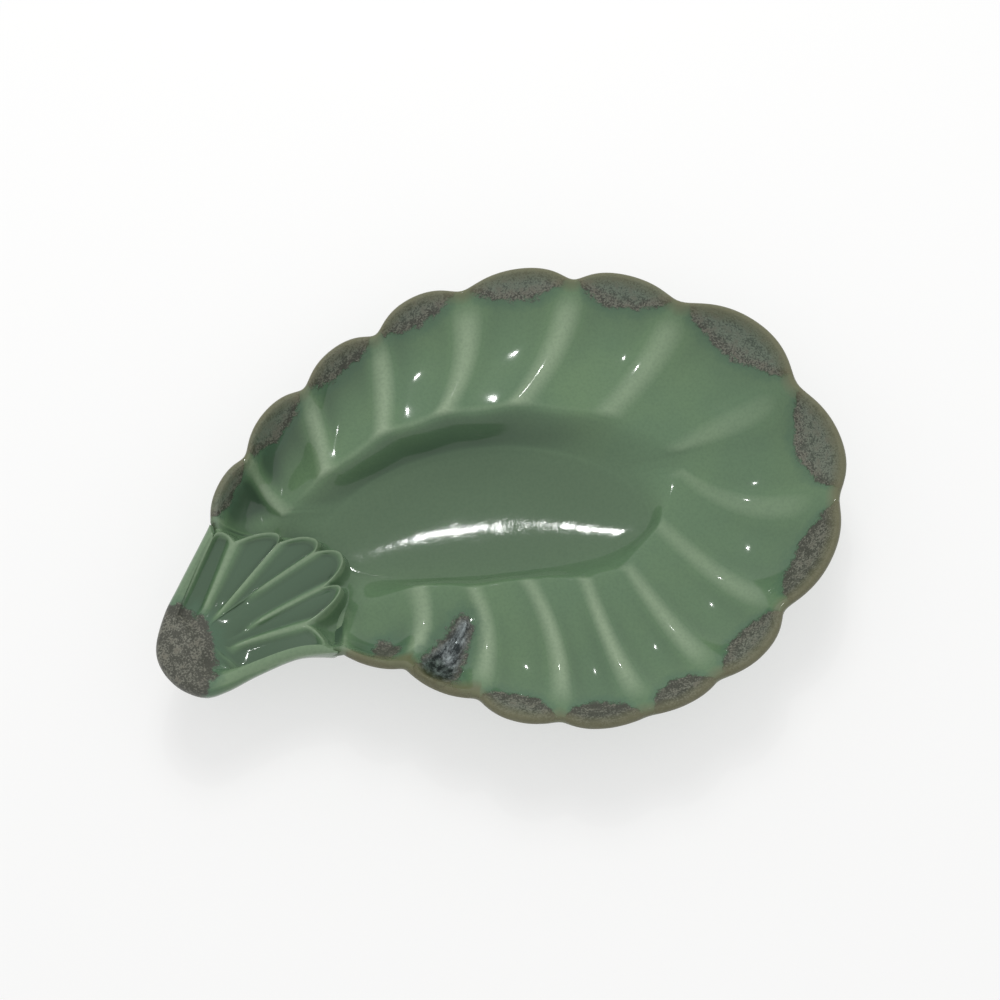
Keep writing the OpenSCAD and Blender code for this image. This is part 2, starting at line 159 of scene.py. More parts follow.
# Petals: how round a tip is, how wide the side of a ridge is, how deep a groove is at its
# root, where it starts and how soon it is deep, and how the fan droops to its edge
TIP_POWER = 2.4
PETAL_SIDE = 2.4
PETAL_ROOT_SHARE = .7
GROOVE_START = .1
GROOVE_RUN = .3
DROOP_POWER = 1.6

# The grip's outline, from its right root round the tip to its left root
GRIP_SHARES = [
    (-.262, -.205), (-.315, -.191), (-.372, -.200), (-.419, -.214), (-.450, -.213),
    (-.479, -.182), (-.4953, -.137), (-.4953, -.091), (-.475, -.033), (-.448, .016),
    (-.403, .094), (-.386, .123)]
UNDER_MID_SHARES = (-.43, -.10)
# Behind each point of the outline: where the hollow starts, how wide the bead is, how deep the
# hollow is and how level the grip is
GRIP_ROOT_SHARES = [
    (-.395, -.180), (-.404, -.178), (-.414, -.172), (-.430, -.163), (-.448, -.149),
    (-.457, -.130), (-.460, -.111), (-.461, -.088), (-.461, -.066), (-.460, -.054),
    (-.459, -.044), (-.4575, -.036)]
BEAD_SHARES = [.9, 1.1, 1.3, 1.3, 1.2, 1, 1, 1, .9, .85, .85, .8]
HOLLOW_SHARES = [0, .6, 1, .9, .1, -.45, -.5, -.3, 0, 0, 0, 0]
LEVEL_SHARES = [0, 0, 0, .2, .9, 1, 1, 1, .8, .6, .6, .6]
# How close to its ends the outline turns into the leaf, the step along it that gives its
# direction, how the top rises to the bead, the runs of its level part and of its hollow, and
# how far down the bead the outline lies
END_POWER = 8
LINE_STEP = .15
BEAD_RISE_POWER = 3
LEVEL_RUN = .4
HOLLOW_RUN = .45
BEAD_SIDE_SHARE = .4
# The foot of the fan's edge: how its plan is rounded, how far it stands out, how it steps down,
# and where its ends run out on the leaf's rim, over how many petals
FOOT_SOFT_SHARE = .45
STEP_OUT = 6
STEP_POWER = 3
ROOT_CORNERS = [(-.382, .116), (-.265, -.199)]
CORNER_REACH = 1.3
FAN_SOFT = 1.1
# Underneath: how far in from the rim the fan's root is tucked and over which share of the rows,
# how soon it reaches the underside, and the round and the run of the grip's own underside
TUCK_IN_SHARE = .12
TUCK_LIP = 1.6
TUCK_SHARE = .35
TUCK_PACE = 1.6
UNDER_TURN_SHARE = .4
UNDER_ROUND_SHARE = .45
UNDER_REACH = 30
UNDER_POWER = 1.2
UNDER_END_POWER = 3
UNDER_SOFT = 9

# Counts: columns of a lobe, of the root, of a petal and of the bead, then rows of the leaf's
# floor, wall, flutes, lip, back and skirt, and rows of the grip's top, step and underside
LOBES = len(RIM_SHARES) - 1
PETALS = (len(FAN_SHARES) - 1) // 2
LOBE_N = 34
ROOT_N = 50
PETAL_N = 24
GRIP_N = 130
FOOT_N = 240
FOOT_ROUND_N = 5
FLOOR_ROWS = 20
WALL_ROWS = 30
FLUTE_ROWS = 34
LIP_ROWS = 12
BACK_ROWS = 24
SKIRT_ROWS = 16
ROW_GAP = .03
TOP_ROWS = 44
STEP_ROWS = 16
UNDER_ROWS = 18

# The rounded lip of the rim, how far it leans in before the inside starts, and the turn in
# degrees past which it belongs to the back
LIP_R = 1.7
LIP_H = 1.95
LIP_LEAN = -38
LIP_BACK = 60
NOTCH_SOFT_SHARE = .05
RIDGE_SOFT_SHARE = .07

# The foot ring's line in the glaze of the well, how far joined pieces sink into each other,
# how far the leaf stays inside its box, and how close points are merged
LINE_RISE = .2
LINE_W = .9
SINK = .25
FIT_CLEAR = .02
WELD = .01
# Rays over the plan start that many metres above or below the table
RAY_FROM = .1
# A bell that smooths is cut off at that many times its width
BELL_REACH = 2.5

# Glaze, in millimetres: depth of the dark patch inside each lobe and behind the rim, width of
# the olive lip, and how far each heart goes grey green, or iron dark below zero
PATCH_DEPTHS = [10.5, 13.5, 12, 12, 13, 14, 18, 19, 17.5, 15.5, 13, 13, 13.5, 3, 2]
PATCH_BEHIND = 5
LIP_WIDTHS = [3, 3, 3, 3.2, 3.5, 3.5, 4, 4, 4, 3.5, 3.2, 3.2, 3.5, 6, 8]
HEARTS = [1, .9, .3, .5, .9, 1, 1, .6, -.5, .2, -.5, -.9, .2, 0, 0]
# The run on one flute, the granular spot beside it, and the patch over the grip's tip, which
# ends that far below the bead
RUN_SHARES = [(-.091, -.207), (-.144, -.287)]
RUN_RADII = (4, 8)
SPOT_SHARES = (-.204, -.214)
SPOT_R = 4.5
TIP_SHARES = (-.476, -.121)
TIP_R = 15
TIP_SQUEEZE = .75
TIP_HEART = -.8
TIP_DROP = 7
# How bare the ends of a lobe stay, how full the patch's arch is, and over which part of the
# first and the last lobe the lip fades, where the grip's glaze runs over the root
PATCH_GAP = .2
PATCH_ARCH = .6
LIP_ENDS = (.45, .35)
# Distances to a border are kept up to this
BORDER_FAR = 20

# Thickness of the glaze: cells of the height map and its margin, how wide the leaf and the
# grip are smoothed to find their hollows, how deep a hollow fills, and how pale an edge turns
POOL_GRID = .6
POOL_EDGE = 2
LEAF_BLUR = 2.2
GRIP_BLUR = 3.8
LEAF_POOL = 1
GRIP_POOL = .35
EDGE_THIN = .45
GRIP_EDGE = .85
# Thicker in a joint, painted shade down the well's wall, thicker in a groove, thinner on a
# ridge, a petal's rim and the bead, with the fan's own glaze fading into the bead's over a few
# columns
JOINT_REACH = 1.6
JOINT_POOL = .6
WALL_SHADE = .5
GROOVE_THICK = .8
VEIN_THIN = .55
VEIN_NARROW = 10
RIM_THIN = .5
BEAD_THIN = .3
FAN_FADE = 5
# Ways down the inside where each of these starts, and how long it takes, below zero where it
# fades out: a ridge's thin glaze, the wall's painted shade, the crest's painted light and shade,
# and the floor's grey
VEIN_SPANS = [(0, .25), (1.35, -.4)]
WALL_SHADE_SPANS = [(1, .3), (2.1, -.6)]
CREST_SPAN = (.7, .3)
FLOOR_SPAN = (1.3, 1.1)
# How much of the crest's pale edge and dark wall each lobe shows, as painted light and shade:
# full on the far side and little elsewhere
CREST_LIGHT_SHADE = [.3, .5, .8, 1, 1, .7, .2, 0, 0, 0, 0, .1, .1, .1, .1]
# The creases round the fan's middle are rounded out to this radius, less over its last part
INNER_REACH = 13
INNER_FADE = 7

# Colours, as the eye reads each in even light
GREEN = "#65815f"
GREEN_CLOUD = "#5f7b5d"
FLOOR = "#5a7058"
# Deep green of pooled glaze, also the painted shade down the far wall of the well
DEEP = "#455c48"
HALO = "#4c6a54"
# Pale green of thin glaze, also the painted light on the far crest's edge
THIN = "#8ea285"
LIP = "#69684c"
IRON = "#47483f"
ASH = "#7a7b6f"
RUST = "#655d50"
SLATE = "#525c50"
MOSS = "#727d6e"
GUNMETAL = "#343a3b"
SILVER = "#a2acac"
CLAY = "#b09a7c"
CLAY_GRIT = "#8e7858"
FLASH = "#7a4f2f"
PAPER = "#fafaf9"
# Roughness and mirror of the glaze, the floor and the run
GLAZE_IOR = 1.5
GLOSS = .09
FLOOR_GLOSS = .08
RUN_GLOSS = .24
FLOOR_MIRROR = .3
RUN_METAL = .8
# Features of the glaze across, in millimetres: clouds, specks, the lip's wander, a patch's
# fray, crystals, their blotches, the glaze's waves, and the streaks of the run. Specks and
# crystals are finer on the real glaze, and drawn as coarse as they need to show.
CLOUD_W = 30
SPECK_W = 1.1
WANDER_W = 9
FRAY_W = 5
GRAIN_W = .7
BLOTCH_W = 3.2
WAVE_W = 7
STREAK_W = 2.2
STREAK_LONG = 3
# How far a patch's border frays and the lip's edge wanders, and heights in the glaze
FRAY_REACH = 11
WANDER_REACH = 3
RUN_RISE = 2.6
CRYSTAL_RISE = .25
PIT_D = .018
WAVE_D = .06
# Bare clay of the foot ring: its grain, the wander of the glaze's end, how far its grains
# stand out, and how rough it is
CLAY_W = .8
CLAY_WANDER_W = 6
CLAY_WANDER = 1.2
CLAY_RISE = .2
CLAY_ROUGH = .85

# Camera of the photograph's view, and the lamps beyond the plate: a small one and a wide one
VIEW_TURN = -17
VIEW_LIFT = 68
VIEW_FAR = 600
VIEW_TARGET = (4.08, 6.46, 20)
VIEW_LENS = 58.12
SENSOR = 36
ROOM = .72
KEY_WAY = (.11, .543, .832)
KEY_FAR = 1100
KEY_W = 30
KEY_WATTS = .55
SOFT_W = 500
SOFT_WATTS = 3.3
PAPER_GLOW = .55
PAPER_REACH = 3000


def in_plan(shares):
    """Points of the plan, in millimetres, from shares of the plate's length and width."""
    reach = np.array([PLATE_L * REACH_SHARES[0], PLATE_W * REACH_SHARES[1]])
    return np.array(shares, float)[..., :2] * reach


def mix(a, b, share):
    return a + (b - a) * share


def soft_step(value):
    inside = np.clip(value, 0, 1)
    return inside * inside * (3 - 2 * inside)


def fading(way, span):
    """How far a way has got over a span, from 0 before it to 1 after it."""
    start, run = span
    return soft_step((way - start) / run)


def unit(rows):
    return rows / np.linalg.norm(rows, axis=-1, keepdims=True)


def left_of(a, b):
    """Unit vector square to the way from a to b, on its left."""
    along = b - a
    return unit(np.stack([-along[..., 1], along[..., 0]], -1))


def spline(points, at):
    """Catmull-Rom curve through points, where whole numbers of at are the points."""
    points = np.asarray(points, float)
    start = np.clip(np.floor(at), 0, len(points) - 2).astype(int)
    part = (np.asarray(at) - start)[..., None]
    if points.ndim == 1:
        points = points[:, None]
    a = points[np.maximum(start - 1, 0)]
    b = points[start]
    c = points[start + 1]
    d = points[np.minimum(start + 2, len(points) - 1)]
    bend = a * 2 - b * 5 + c * 4 - d
    swing = b * 3 - a - c * 3 + d
    return ((b * 2 + (c - a) * part + bend * part**2 + swing * part**3) / 2).squeeze()


def soften(rows, width):
    """Rows smoothed along the first axis by a bell of that many rows each way."""
    reach = int(math.ceil(width * BELL_REACH))
    bell = np.exp(-0.5 * (np.arange(-reach, reach + 1) / width) ** 2)
    padded = np.concatenate([rows[:1].repeat(reach, 0), rows, rows[-1:].repeat(reach, 0)])
    total = sum(weight * padded[i:i + len(rows)] for i, weight in enumerate(bell))
    return total / bell.sum()


# The floor of the well and its stations

WELL_MID = in_plan(WELL_MID_SHARES)
FLOOR_MID = WELL_MID + [0, FLOOR_SHIFT]


def oval(turn, out=0.0):
    """Edge of the well's floor at a turn in degrees, out further by that much."""
    angle = np.radians(turn)
    x = (WELL_L / 2 + out) * np.cos(angle)
    y = (WELL_W / 2 + out) * np.sin(angle)
    bent = y - WELL_BEND_SHARE * WELL_L * (x / (WELL_L / 2)) ** 2
    tilt = math.radians(WELL_TILT)
    along = x * math.cos(tilt) - bent * math.sin(tilt)
    across = x * math.sin(tilt) + bent * math.cos(tilt)
    return WELL_MID + np.stack([along, across], -1)


def turn_to(point):
    """Turn of the floor's edge that faces a point of the plan, in degrees."""
    x, y = point - WELL_MID
    tilt = math.radians(WELL_TILT)
    along = x * math.cos(tilt) + y * math.sin(tilt)
    across = y * math.cos(tilt) - x * math.sin(tilt)
    across += WELL_BEND_SHARE * WELL_L * (along / (WELL_L / 2)) ** 2
    return math.degrees(math.atan2(across / WELL_W, along / WELL_L))


rim = in_plan(RIM_SHARES)
turns = [ROOT_TURNS[0]] + [(turn_to(p) - ROOT_TURNS[0]) % 360 + ROOT_TURNS[0] - 360
                           for p in in_plan(CREST_SHARES)] + [ROOT_TURNS[1] - 360]
turns = np.array(turns)
root_edges = [oval(turns[0]), oval(turns[-1])]
crest = np.array([mix(rim[0], root_edges[0], ROOT_CREST_SHARE), *in_plan(CREST_SHARES),
                  mix(rim[-1], root_edges[1], ROOT_CREST_SHARE)])
half = np.array([mix(rim[0], root_edges[0], ROOT_HALF_SHARE), *in_plan(RIDGE_SHARES),
                 mix(rim[-1], root_edges[1], ROOT_HALF_SHARE)])
crest_share = np.array([CREST_H_SHARES[0], *CREST_H_SHARES, CREST_H_SHARES[-1]])


def sharp_rim(at):
    """Outline of the rim, bowed over the chord between two notches."""
    start = np.clip(np.floor(at), 0, LOBES - 1).astype(int)
    part = np.clip(at, 0, LOBES) - start
    a, b = rim[start], rim[start + 1]
    bow = np.array(LOBE_BOW_SHARES)[start] * (1 - np.abs(2 * part - 1) ** LOBE_POWER)
    along = part + (np.array(LOBE_TOP_SHARES)[start] - .5) * 4 * part * (1 - part)
    chord = np.linalg.norm(b - a, axis=-1)
    return mix(a, b, along[:, None]) + left_of(a, b) * (chord * bow)[:, None]


def ridge_of(part, narrow):
    """How much of a ridge a place across a flute has: 1 at a notch, 0 in the flute."""
    wave = np.abs(np.cos(np.pi * part))
    return mix(wave ** narrow, wave ** 2, RIDGE_BASE_SHARE)


def lobe_stations():
    """Columns of the leaf along its lobes: plan points, heights and blends."""
    at = np.arange(LOBES * LOBE_N) / LOBE_N
    start = np.minimum(np.floor(at), LOBES - 1).astype(int)
    part = at - start
    arch = (4 * part * (1 - part))[:, None]
    share = part[:, None]
    chord = np.linalg.norm(rim[start + 1] - rim[start], axis=-1)
    bow = (chord * np.array(LOBE_BOW_SHARES)[start] - CREST_BOW)[:, None] / 2
    top = mix(crest[start], crest[start + 1], share)
    top = top - left_of(crest[start], crest[start + 1]) * CREST_BOW * arch
    middle = mix(half[start], half[start + 1], share)
    middle = middle + left_of(half[start], half[start + 1]) * bow * arch
    strength = np.array(VEIN_SHARES)
    ridge = ridge_of(part, RIDGE_NARROW) * mix(strength[start], strength[start + 1], part)
    straight = np.where(start == 0, (1 - part) ** 2, np.where(start == LOBES - 1, part ** 2, 0))
    return {
        "lip": soften(sharp_rim(at), NOTCH_SOFT_SHARE * LOBE_N),
        "half": soften(middle, RIDGE_SOFT_SHARE * LOBE_N),
        "crest": soften(top, RIDGE_SOFT_SHARE * LOBE_N),
        "edge": oval(mix(turns[start], turns[start + 1], part)),
        "rim_z": RIM_H - NOTCH_DROP * ridge_of(part, NOTCH_NARROW),
        "crest_z": CREST_H * mix(crest_share[start], crest_share[start + 1], part),
        "ridge": np.where(start == 0, ridge * soft_step(2 * part), ridge),
        "straight": straight, "lobe": at}


def root_stations(lobes, g):
    """Columns of the low saddle under the grip, g from its right end to its left end."""
    share = g[:, None]
    edge = oval(mix(turns[-1], turns[0] - 360, g))
    a, b = lobes["lip"][-1], lobes["lip"][0]
    out = a * (1 - share) ** 2 + in_plan(SADDLE_SHARES) * 2 * share * (1 - share) + b * share ** 2
    high = RIM_H - NOTCH_DROP
    rim_z = SADDLE_H + (high - SADDLE_H) * (1 - np.sin(np.pi * g)) ** SADDLE_POWER
    ones = np.ones_like(g)
    return {"lip": out, "half": mix(out, edge, ROOT_HALF_SHARE),
            "crest": mix(out, edge, ROOT_CREST_SHARE), "edge": edge,
            "rim_z": rim_z, "crest_z": mix(rim_z, EDGE_Z, ROOT_CREST_SHARE),
            "ridge": ones, "straight": ones, "lobe": LOBES + g}


def all_stations():
    """Columns all round the leaf, with their ways in and how the wall leans into the floor."""
    lobes = lobe_stations()
    root = root_stations(lobes, (np.arange(ROOT_N) + .5) / ROOT_N)
    joined = {key: np.concatenate([lobes[key], root[key]]) for key in lobes}
    joined["inward"] = unit(joined["half"] - joined["lip"])
    joined["away"] = unit(joined["crest"] - joined["edge"])
    wall = np.linalg.norm(joined["crest"] - joined["edge"], axis=1)
    floor = np.linalg.norm(joined["edge"] - FLOOR_MID, axis=1)
    joined["lean"] = FLOOR_POWER * WELL_RISE / floor * wall / (joined["crest_z"] - EDGE_Z)
    return joined


def ring_table():
    """Rows of the skin. The way down is 0 at the rim, 1 at the crest, 2 at the floor's edge and
    3 at its middle, the side is 0 inside and 1 behind, and the turn is the lip's."""
    inside = np.concatenate([np.linspace(3, 2, FLOOR_ROWS),
                             np.linspace(2 - ROW_GAP, 1, WALL_ROWS),
                             np.linspace(1 - ROW_GAP, 0, FLUTE_ROWS)])
    lip = np.linspace(LIP_LEAN, 180, LIP_ROWS + 2)[1:-1]
    behind = np.concatenate([np.linspace(0, 1, BACK_ROWS),
                             np.linspace(1 + 2 * ROW_GAP, 2, SKIRT_ROWS), [2.5, 3]])
    way = np.concatenate([inside, 0 * lip, behind])
    side = np.concatenate([0 * inside, (lip > LIP_BACK) * 1.0, 0 * behind + 1])
    turn = np.concatenate([0 * inside + LIP_LEAN, lip, 0 * behind + 180])
    return {"way": way, "side": side, "turn": np.radians(turn)}


# Meshes

def new_object(name, vertices, faces=(), material=None, smooth=True):
    """A mesh object with vertices in millimetres, at the origin."""
    mesh = bpy.data.meshes.new(name)
    mesh.from_pydata((np.asarray(vertices, float) * MM).tolist(), [], list(faces))
    mesh.update()
    if smooth:
        mesh.polygons.foreach_set("use_smooth", [True] * len(mesh.polygons))
    if material:
        mesh.materials.append(material)
    thing = bpy.data.objects.new(name, mesh)
    bpy.context.scene.collection.objects.link(thing)
    return thing


def set_attribute(thing, name, values):
    """Writes one value or vector for each point of a mesh."""
    values = np.asarray(values, float)
    kind, field = ("FLOAT", "value") if values.ndim == 1 else ("FLOAT_VECTOR", "vector")
    attribute = thing.data.attributes.new(name, kind, "POINT")
    attribute.data.foreach_set(field, values.ravel())


def get_attribute(thing, name):
    """The value of each point of a mesh."""
    values = np.empty(len(thing.data.vertices))
    thing.data.attributes[name].data.foreach_get("value", values)
    return values


def points_of(thing):
    """Vertices in millimetres and their normals."""
    count = len(thing.data.vertices)
    points, normals = np.empty(count * 3), np.empty(count * 3)
    thing.data.vertices.foreach_get("co", points)
    thing.data.vertex_normals.foreach_get("vector", normals)
    return points.reshape(-1, 3) / MM, normals.reshape(-1, 3)


def add(tree, kind, sources=None, **settings):
    """Adds a node with its settings and sources, and returns its first live output."""
    node = tree.nodes.new(kind)
    for name, value in settings.items():
        setattr(node, name, value)
    for key, value in (sources or {}).items():
        if isinstance(value, bpy.types.NodeSocket):
            tree.links.new(value, node.inputs[key])
        else:
            node.inputs[key].default_value = value
    return next((socket for socket in node.outputs if socket.enabled), node)


def new_tree(name, sizes, objects=()):
    """A geometry tree with a mesh in and out, named sizes and named objects."""
    tree = bpy.data.node_groups.new(name, "GeometryNodeTree")
    tree.interface.new_socket("Geometry", in_out="INPUT", socket_type="NodeSocketGeometry")
    for size in sizes:
        tree.interface.new_socket(size, in_out="INPUT", socket_type="NodeSocketFloat")
    for thing in objects:
        tree.interface.new_socket(thing, in_out="INPUT", socket_type="NodeSocketObject")
    tree.interface.new_socket("Material", in_out="INPUT", socket_type="NodeSocketMaterial")
    tree.interface.new_socket("Geometry", in_out="OUTPUT", socket_type="NodeSocketGeometry")
    inputs = tree.nodes.new("NodeGroupInput")
    return tree, {socket.name: socket for socket in inputs.outputs if socket.name}


def close_tree(tree, geometry, material):
    """Ends a tree with real geometry in its material."""
    real = add(tree, "GeometryNodeRealizeInstances", {0: geometry})
    painted = add(tree, "GeometryNodeSetMaterial", {0: real, "Material": material})
    smooth = add(tree, "GeometryNodeSetShadeSmooth", {0: painted})
    add(tree, "NodeGroupOutput", {0: smooth})


def grow(name, guide, tree, values):
    """Runs a tree on a guide and leaves its result as a plain mesh object."""
    modifier = guide.modifiers.new(tree.name, "NODES")
    modifier.node_group = tree
    for item in tree.interface.items_tree:
        if item.in_out == "INPUT" and item.name in values:
            modifier[item.identifier] = values[item.name]
    evaluated = guide.evaluated_get(bpy.context.evaluated_depsgraph_get())
    mesh = bpy.data.meshes.new_from_object(evaluated)
    guide.modifiers.remove(modifier)
    bpy.data.objects.remove(guide)
    mesh.name = name
    thing = bpy.data.objects.new(name, mesh)
    bpy.context.scene.collection.objects.link(thing)
    return thing


# The leaf

def leaf_tree():
    """The skin of the leaf: the flute and ridge rule at each crossing of a station and a ring."""
    sizes = ["Wall", "Lip Radius", "Lip Height", "Flute Dip", "Ridge Dip", "Ridge Rise",
             "Ridge Behind", "Flute Power", "Ridge Power", "Well Rise", "Floor Power",
             "Edge Height", "Foot Height", "Root Power", "Root Behind", "Skirt Share",
             "Line Rise", "Line Width", "Well X", "Well Y"]
    tree, size = new_tree("fluted_leaf", sizes, ["Rings"])
    maths, vectors = "ShaderNodeMath", "ShaderNodeVectorMath"
    info = add(tree, "GeometryNodeObjectInfo", {0: size["Rings"]}).node
    rings, stations = info.outputs["Geometry"], size["Geometry"]
    rows = add(tree, "GeometryNodeAttributeDomainSize", {0: rings})
    columns = add(tree, "GeometryNodeAttributeDomainSize", {0: stations})
    wide = add(tree, maths, {0: columns, 1: 1.0}, operation="ADD")
    grid = add(tree, "GeometryNodeMeshGrid", {"Vertices X": wide, "Vertices Y": rows})
    index = add(tree, "GeometryNodeInputIndex")
    line = add(tree, maths, {0: index, 1: rows}, operation="DIVIDE")
    line = add(tree, maths, {0: line}, operation="FLOOR")
    column = add(tree, maths, {0: line, 1: columns}, operation="MODULO")
    row = add(tree, maths, {0: index, 1: rows}, operation="MODULO")

    def sample(geometry, name, kind, at):
        value = add(tree, "GeometryNodeInputNamedAttribute", {"Name": name}, data_type=kind)
        return add(tree, "GeometryNodeSampleIndex", {0: geometry, "Value": value, "Index": at},
                   data_type=kind)

    lip, half_way, top, edge, inward, away = [
        sample(stations, name, "FLOAT_VECTOR", column)
        for name in ("lip", "half", "crest", "edge", "inward", "away")]
    rim_z, crest_z, ridge, straight, lean = [
        sample(stations, name, "FLOAT", column)
        for name in ("rim_z", "crest_z", "ridge", "straight", "lean")]
    way, side, turn = [sample(rings, name, "FLOAT", row) for name in ("way", "side", "turn")]

    # Share of the way over the flute, down the wall of the well and across its floor
    u = add(tree, maths, {0: way, 1: 1.0}, operation="MINIMUM")
    v = add(tree, maths, {0: way, 1: 1.0}, operation="SUBTRACT", use_clamp=True)
    x = add(tree, maths, {0: way, 1: 2.0}, operation="SUBTRACT", use_clamp=True)
    both = add(tree, maths, {0: way, 1: 0.5}, operation="MULTIPLY", use_clamp=True)
    rest = add(tree, maths, {0: 1.0, 1: u}, operation="SUBTRACT")

    # The lip is a half round from the inside over the rim to the back
    sine = add(tree, maths, {0: turn}, operation="SINE")
    back = add(tree, maths, {0: 1.0, 1: sine}, operation="SUBTRACT")
    back = add(tree, maths, {0: back, 1: size["Lip Radius"]}, operation="MULTIPLY")
    start = add(tree, vectors, {0: inward, "Scale": back}, operation="SCALE")
    start = add(tree, vectors, {0: lip, 1: start}, operation="ADD")
    cosine = add(tree, maths, {0: turn}, operation="COSINE")
    fall = add(tree, maths, {0: 1.0, 1: cosine}, operation="SUBTRACT")
    fall = add(tree, maths, {0: fall, 1: size["Lip Height"]}, operation="MULTIPLY")
    lip_z = add(tree, maths, {0: rim_z, 1: fall}, operation="SUBTRACT")

    # Plan of the section: a curve through the half way point, then straight to the floor
    twice = add(tree, maths, {0: u, 1: 2.0}, operation="MULTIPLY")
    near = add(tree, maths, {0: 1.0, 1: twice}, operation="SUBTRACT")
    parts = []
    for point, share, *factors in ((start, rest, near), (half_way, u, rest, 4.0),
                                   (top, u, near, -1.0)):
        for factor in factors:
            share = add(tree, maths, {0: share, 1: factor}, operation="MULTIPLY")
        parts.append(add(tree, vectors, {0: point, "Scale": share}, operation="SCALE"))
    run = add(tree, vectors, {0: parts[0], 1: parts[1]}, operation="ADD")
    run = add(tree, vectors, {0: run, 1: parts[2]}, operation="ADD")
    plan = add(tree, "ShaderNodeMix", {"Factor": v, 4: run, 5: edge}, data_type="VECTOR")
    bare = add(tree, "ShaderNodeMix", {"Factor": both, 4: start, 5: edge}, data_type="VECTOR")
    plan = add(tree, "ShaderNodeMix", {"Factor": straight, 4: plan, 5: bare}, data_type="VECTOR")
    well = add(tree, "ShaderNodeCombineXYZ", {0: size["Well X"], 1: size["Well Y"]})
    plan = add(tree, "ShaderNodeMix", {"Factor": x, 4: plan, 5: well}, data_type="VECTOR")

    # Behind, the wall of the well stands out by half its thickness and the skirt ends early
    down = add(tree, maths, {0: v, 1: size["Skirt Share"]}, operation="DIVIDE", use_clamp=True)
    down_turn = add(tree, maths, {0: down, 1: math.pi}, operation="MULTIPLY")
    bulge = add(tree, maths, {0: down_turn}, operation="SINE")
    for factor in (size["Wall"], side, 0.5):
        bulge = add(tree, maths, {0: bulge, 1: factor}, operation="MULTIPLY")
    bulge = add(tree, vectors, {0: away, "Scale": bulge}, operation="SCALE")
    plan = add(tree, vectors, {0: plan, 1: bulge}, operation="ADD")

    # Height of the flute's floor and of the ridge's spine, and the mix of the two
    deep = add(tree, maths, {0: side, 1: size["Wall"]}, operation="MULTIPLY")
    base = add(tree, maths, {0: crest_z, 1: deep}, operation="SUBTRACT")
    raised = add(tree, maths, {0: base, 1: size["Ridge Rise"]}, operation="ADD")
    dip = add(tree, maths, {0: rest, 1: 2.0}, operation="POWER")
    for factor in (u, DIP_SCALE):
        dip = add(tree, maths, {0: dip, 1: factor}, operation="MULTIPLY")
    lines = []
    for foot, kind in ((base, "Flute"), (raised, "Ridge")):
        rise = add(tree, maths, {0: lip_z, 1: foot}, operation="SUBTRACT")
        power = add(tree, maths, {0: rest, 1: size[kind + " Power"]}, operation="POWER")
        height = add(tree, maths, {0: rise, 1: power, 2: foot}, operation="MULTIPLY_ADD")
        sag = add(tree, maths, {0: dip, 1: size[kind + " Dip"]}, operation="MULTIPLY")
        lines.append(add(tree, maths, {0: height, 1: sag}, operation="SUBTRACT"))
    flute, spine = lines
    kept = add(tree, "ShaderNodeMix", {"Factor": side, 2: 1.0, 3: size["Ridge Behind"]})
    kept = add(tree, maths, {0: kept, 1: ridge}, operation="MULTIPLY")
    shaped = add(tree, "ShaderNodeMix", {"Factor": kept, 2: flute, 3: spine})

    # Down the wall of the well: inside an S that leans into the floor, behind a skirt that is
    # half an S and half straight
    up = add(tree, maths, {0: 1.0, 1: v}, operation="SUBTRACT")
    inner = add(tree, maths, {0: v, 1: -2.0, 2: 3.0}, operation="MULTIPLY_ADD")
    lean = add(tree, maths, {0: lean, 1: up}, operation="MULTIPLY")
    inner = add(tree, maths, {0: inner, 1: lean}, operation="SUBTRACT")
    for factor in (v, v):
        inner = add(tree, maths, {0: inner, 1: factor}, operation="MULTIPLY")
    inner = add(tree, maths, {0: 1.0, 1: inner}, operation="SUBTRACT")
    outer = add(tree, maths, {0: down_turn}, operation="COSINE")
    outer = add(tree, maths, {0: outer, 1: 0.25, 2: 0.25}, operation="MULTIPLY_ADD")
    plain = add(tree, maths, {0: down, 1: -0.5, 2: 0.5}, operation="MULTIPLY_ADD")
    outer = add(tree, maths, {0: outer, 1: plain}, operation="ADD")
    fall = add(tree, "ShaderNodeMix", {"Factor": side, 2: inner, 3: outer})
    low = add(tree, "ShaderNodeMix",
              {"Factor": side, 2: size["Edge Height"], 3: size["Foot Height"]})
    height = add(tree, "ShaderNodeMix", {"Factor": fall, 2: low, 3: shaped}, clamp_factor=False)
    above = add(tree, maths, {0: 1.0, 1: both}, operation="SUBTRACT")
    power = add(tree, "ShaderNodeMix",
                {"Factor": side, 2: size["Root Power"], 3: size["Root Behind"]})
    above = add(tree, maths, {0: above, 1: power}, operation="POWER")
    bare = add(tree, "ShaderNodeMix", {"Factor": above, 2: low, 3: lip_z})
    height = add(tree, "ShaderNodeMix", {"Factor": straight, 2: height, 3: bare})

    # The floor is dished, and the foot ring shows through its glaze as a fine raised line
    left = add(tree, maths, {0: 1.0, 1: x}, operation="SUBTRACT")
    left = add(tree, maths, {0: left, 1: size["Floor Power"]}, operation="POWER")
    sunk = add(tree, maths, {0: 1.0, 1: left}, operation="SUBTRACT")
    sunk = add(tree, maths, {0: sunk, 1: size["Well Rise"]}, operation="MULTIPLY")
    gap = add(tree, vectors, {0: plan, 1: edge}, operation="DISTANCE").node.outputs["Value"]
    gap = add(tree, maths, {0: gap, 1: size["Line Width"]}, operation="DIVIDE")
    gap = add(tree, maths, {0: gap, 1: 2.0}, operation="POWER")
    line = add(tree, maths, {0: math.e, 1: gap}, operation="POWER")
    line = add(tree, maths, {0: size["Line Rise"], 1: line}, operation="DIVIDE")
    sunk = add(tree, maths, {0: sunk, 1: line}, operation="SUBTRACT")
    inside = add(tree, maths, {0: 1.0, 1: side}, operation="SUBTRACT")
    sunk = add(tree, maths, {0: sunk, 1: inside}, operation="MULTIPLY")
    height = add(tree, maths, {0: height, 1: sunk}, operation="SUBTRACT")

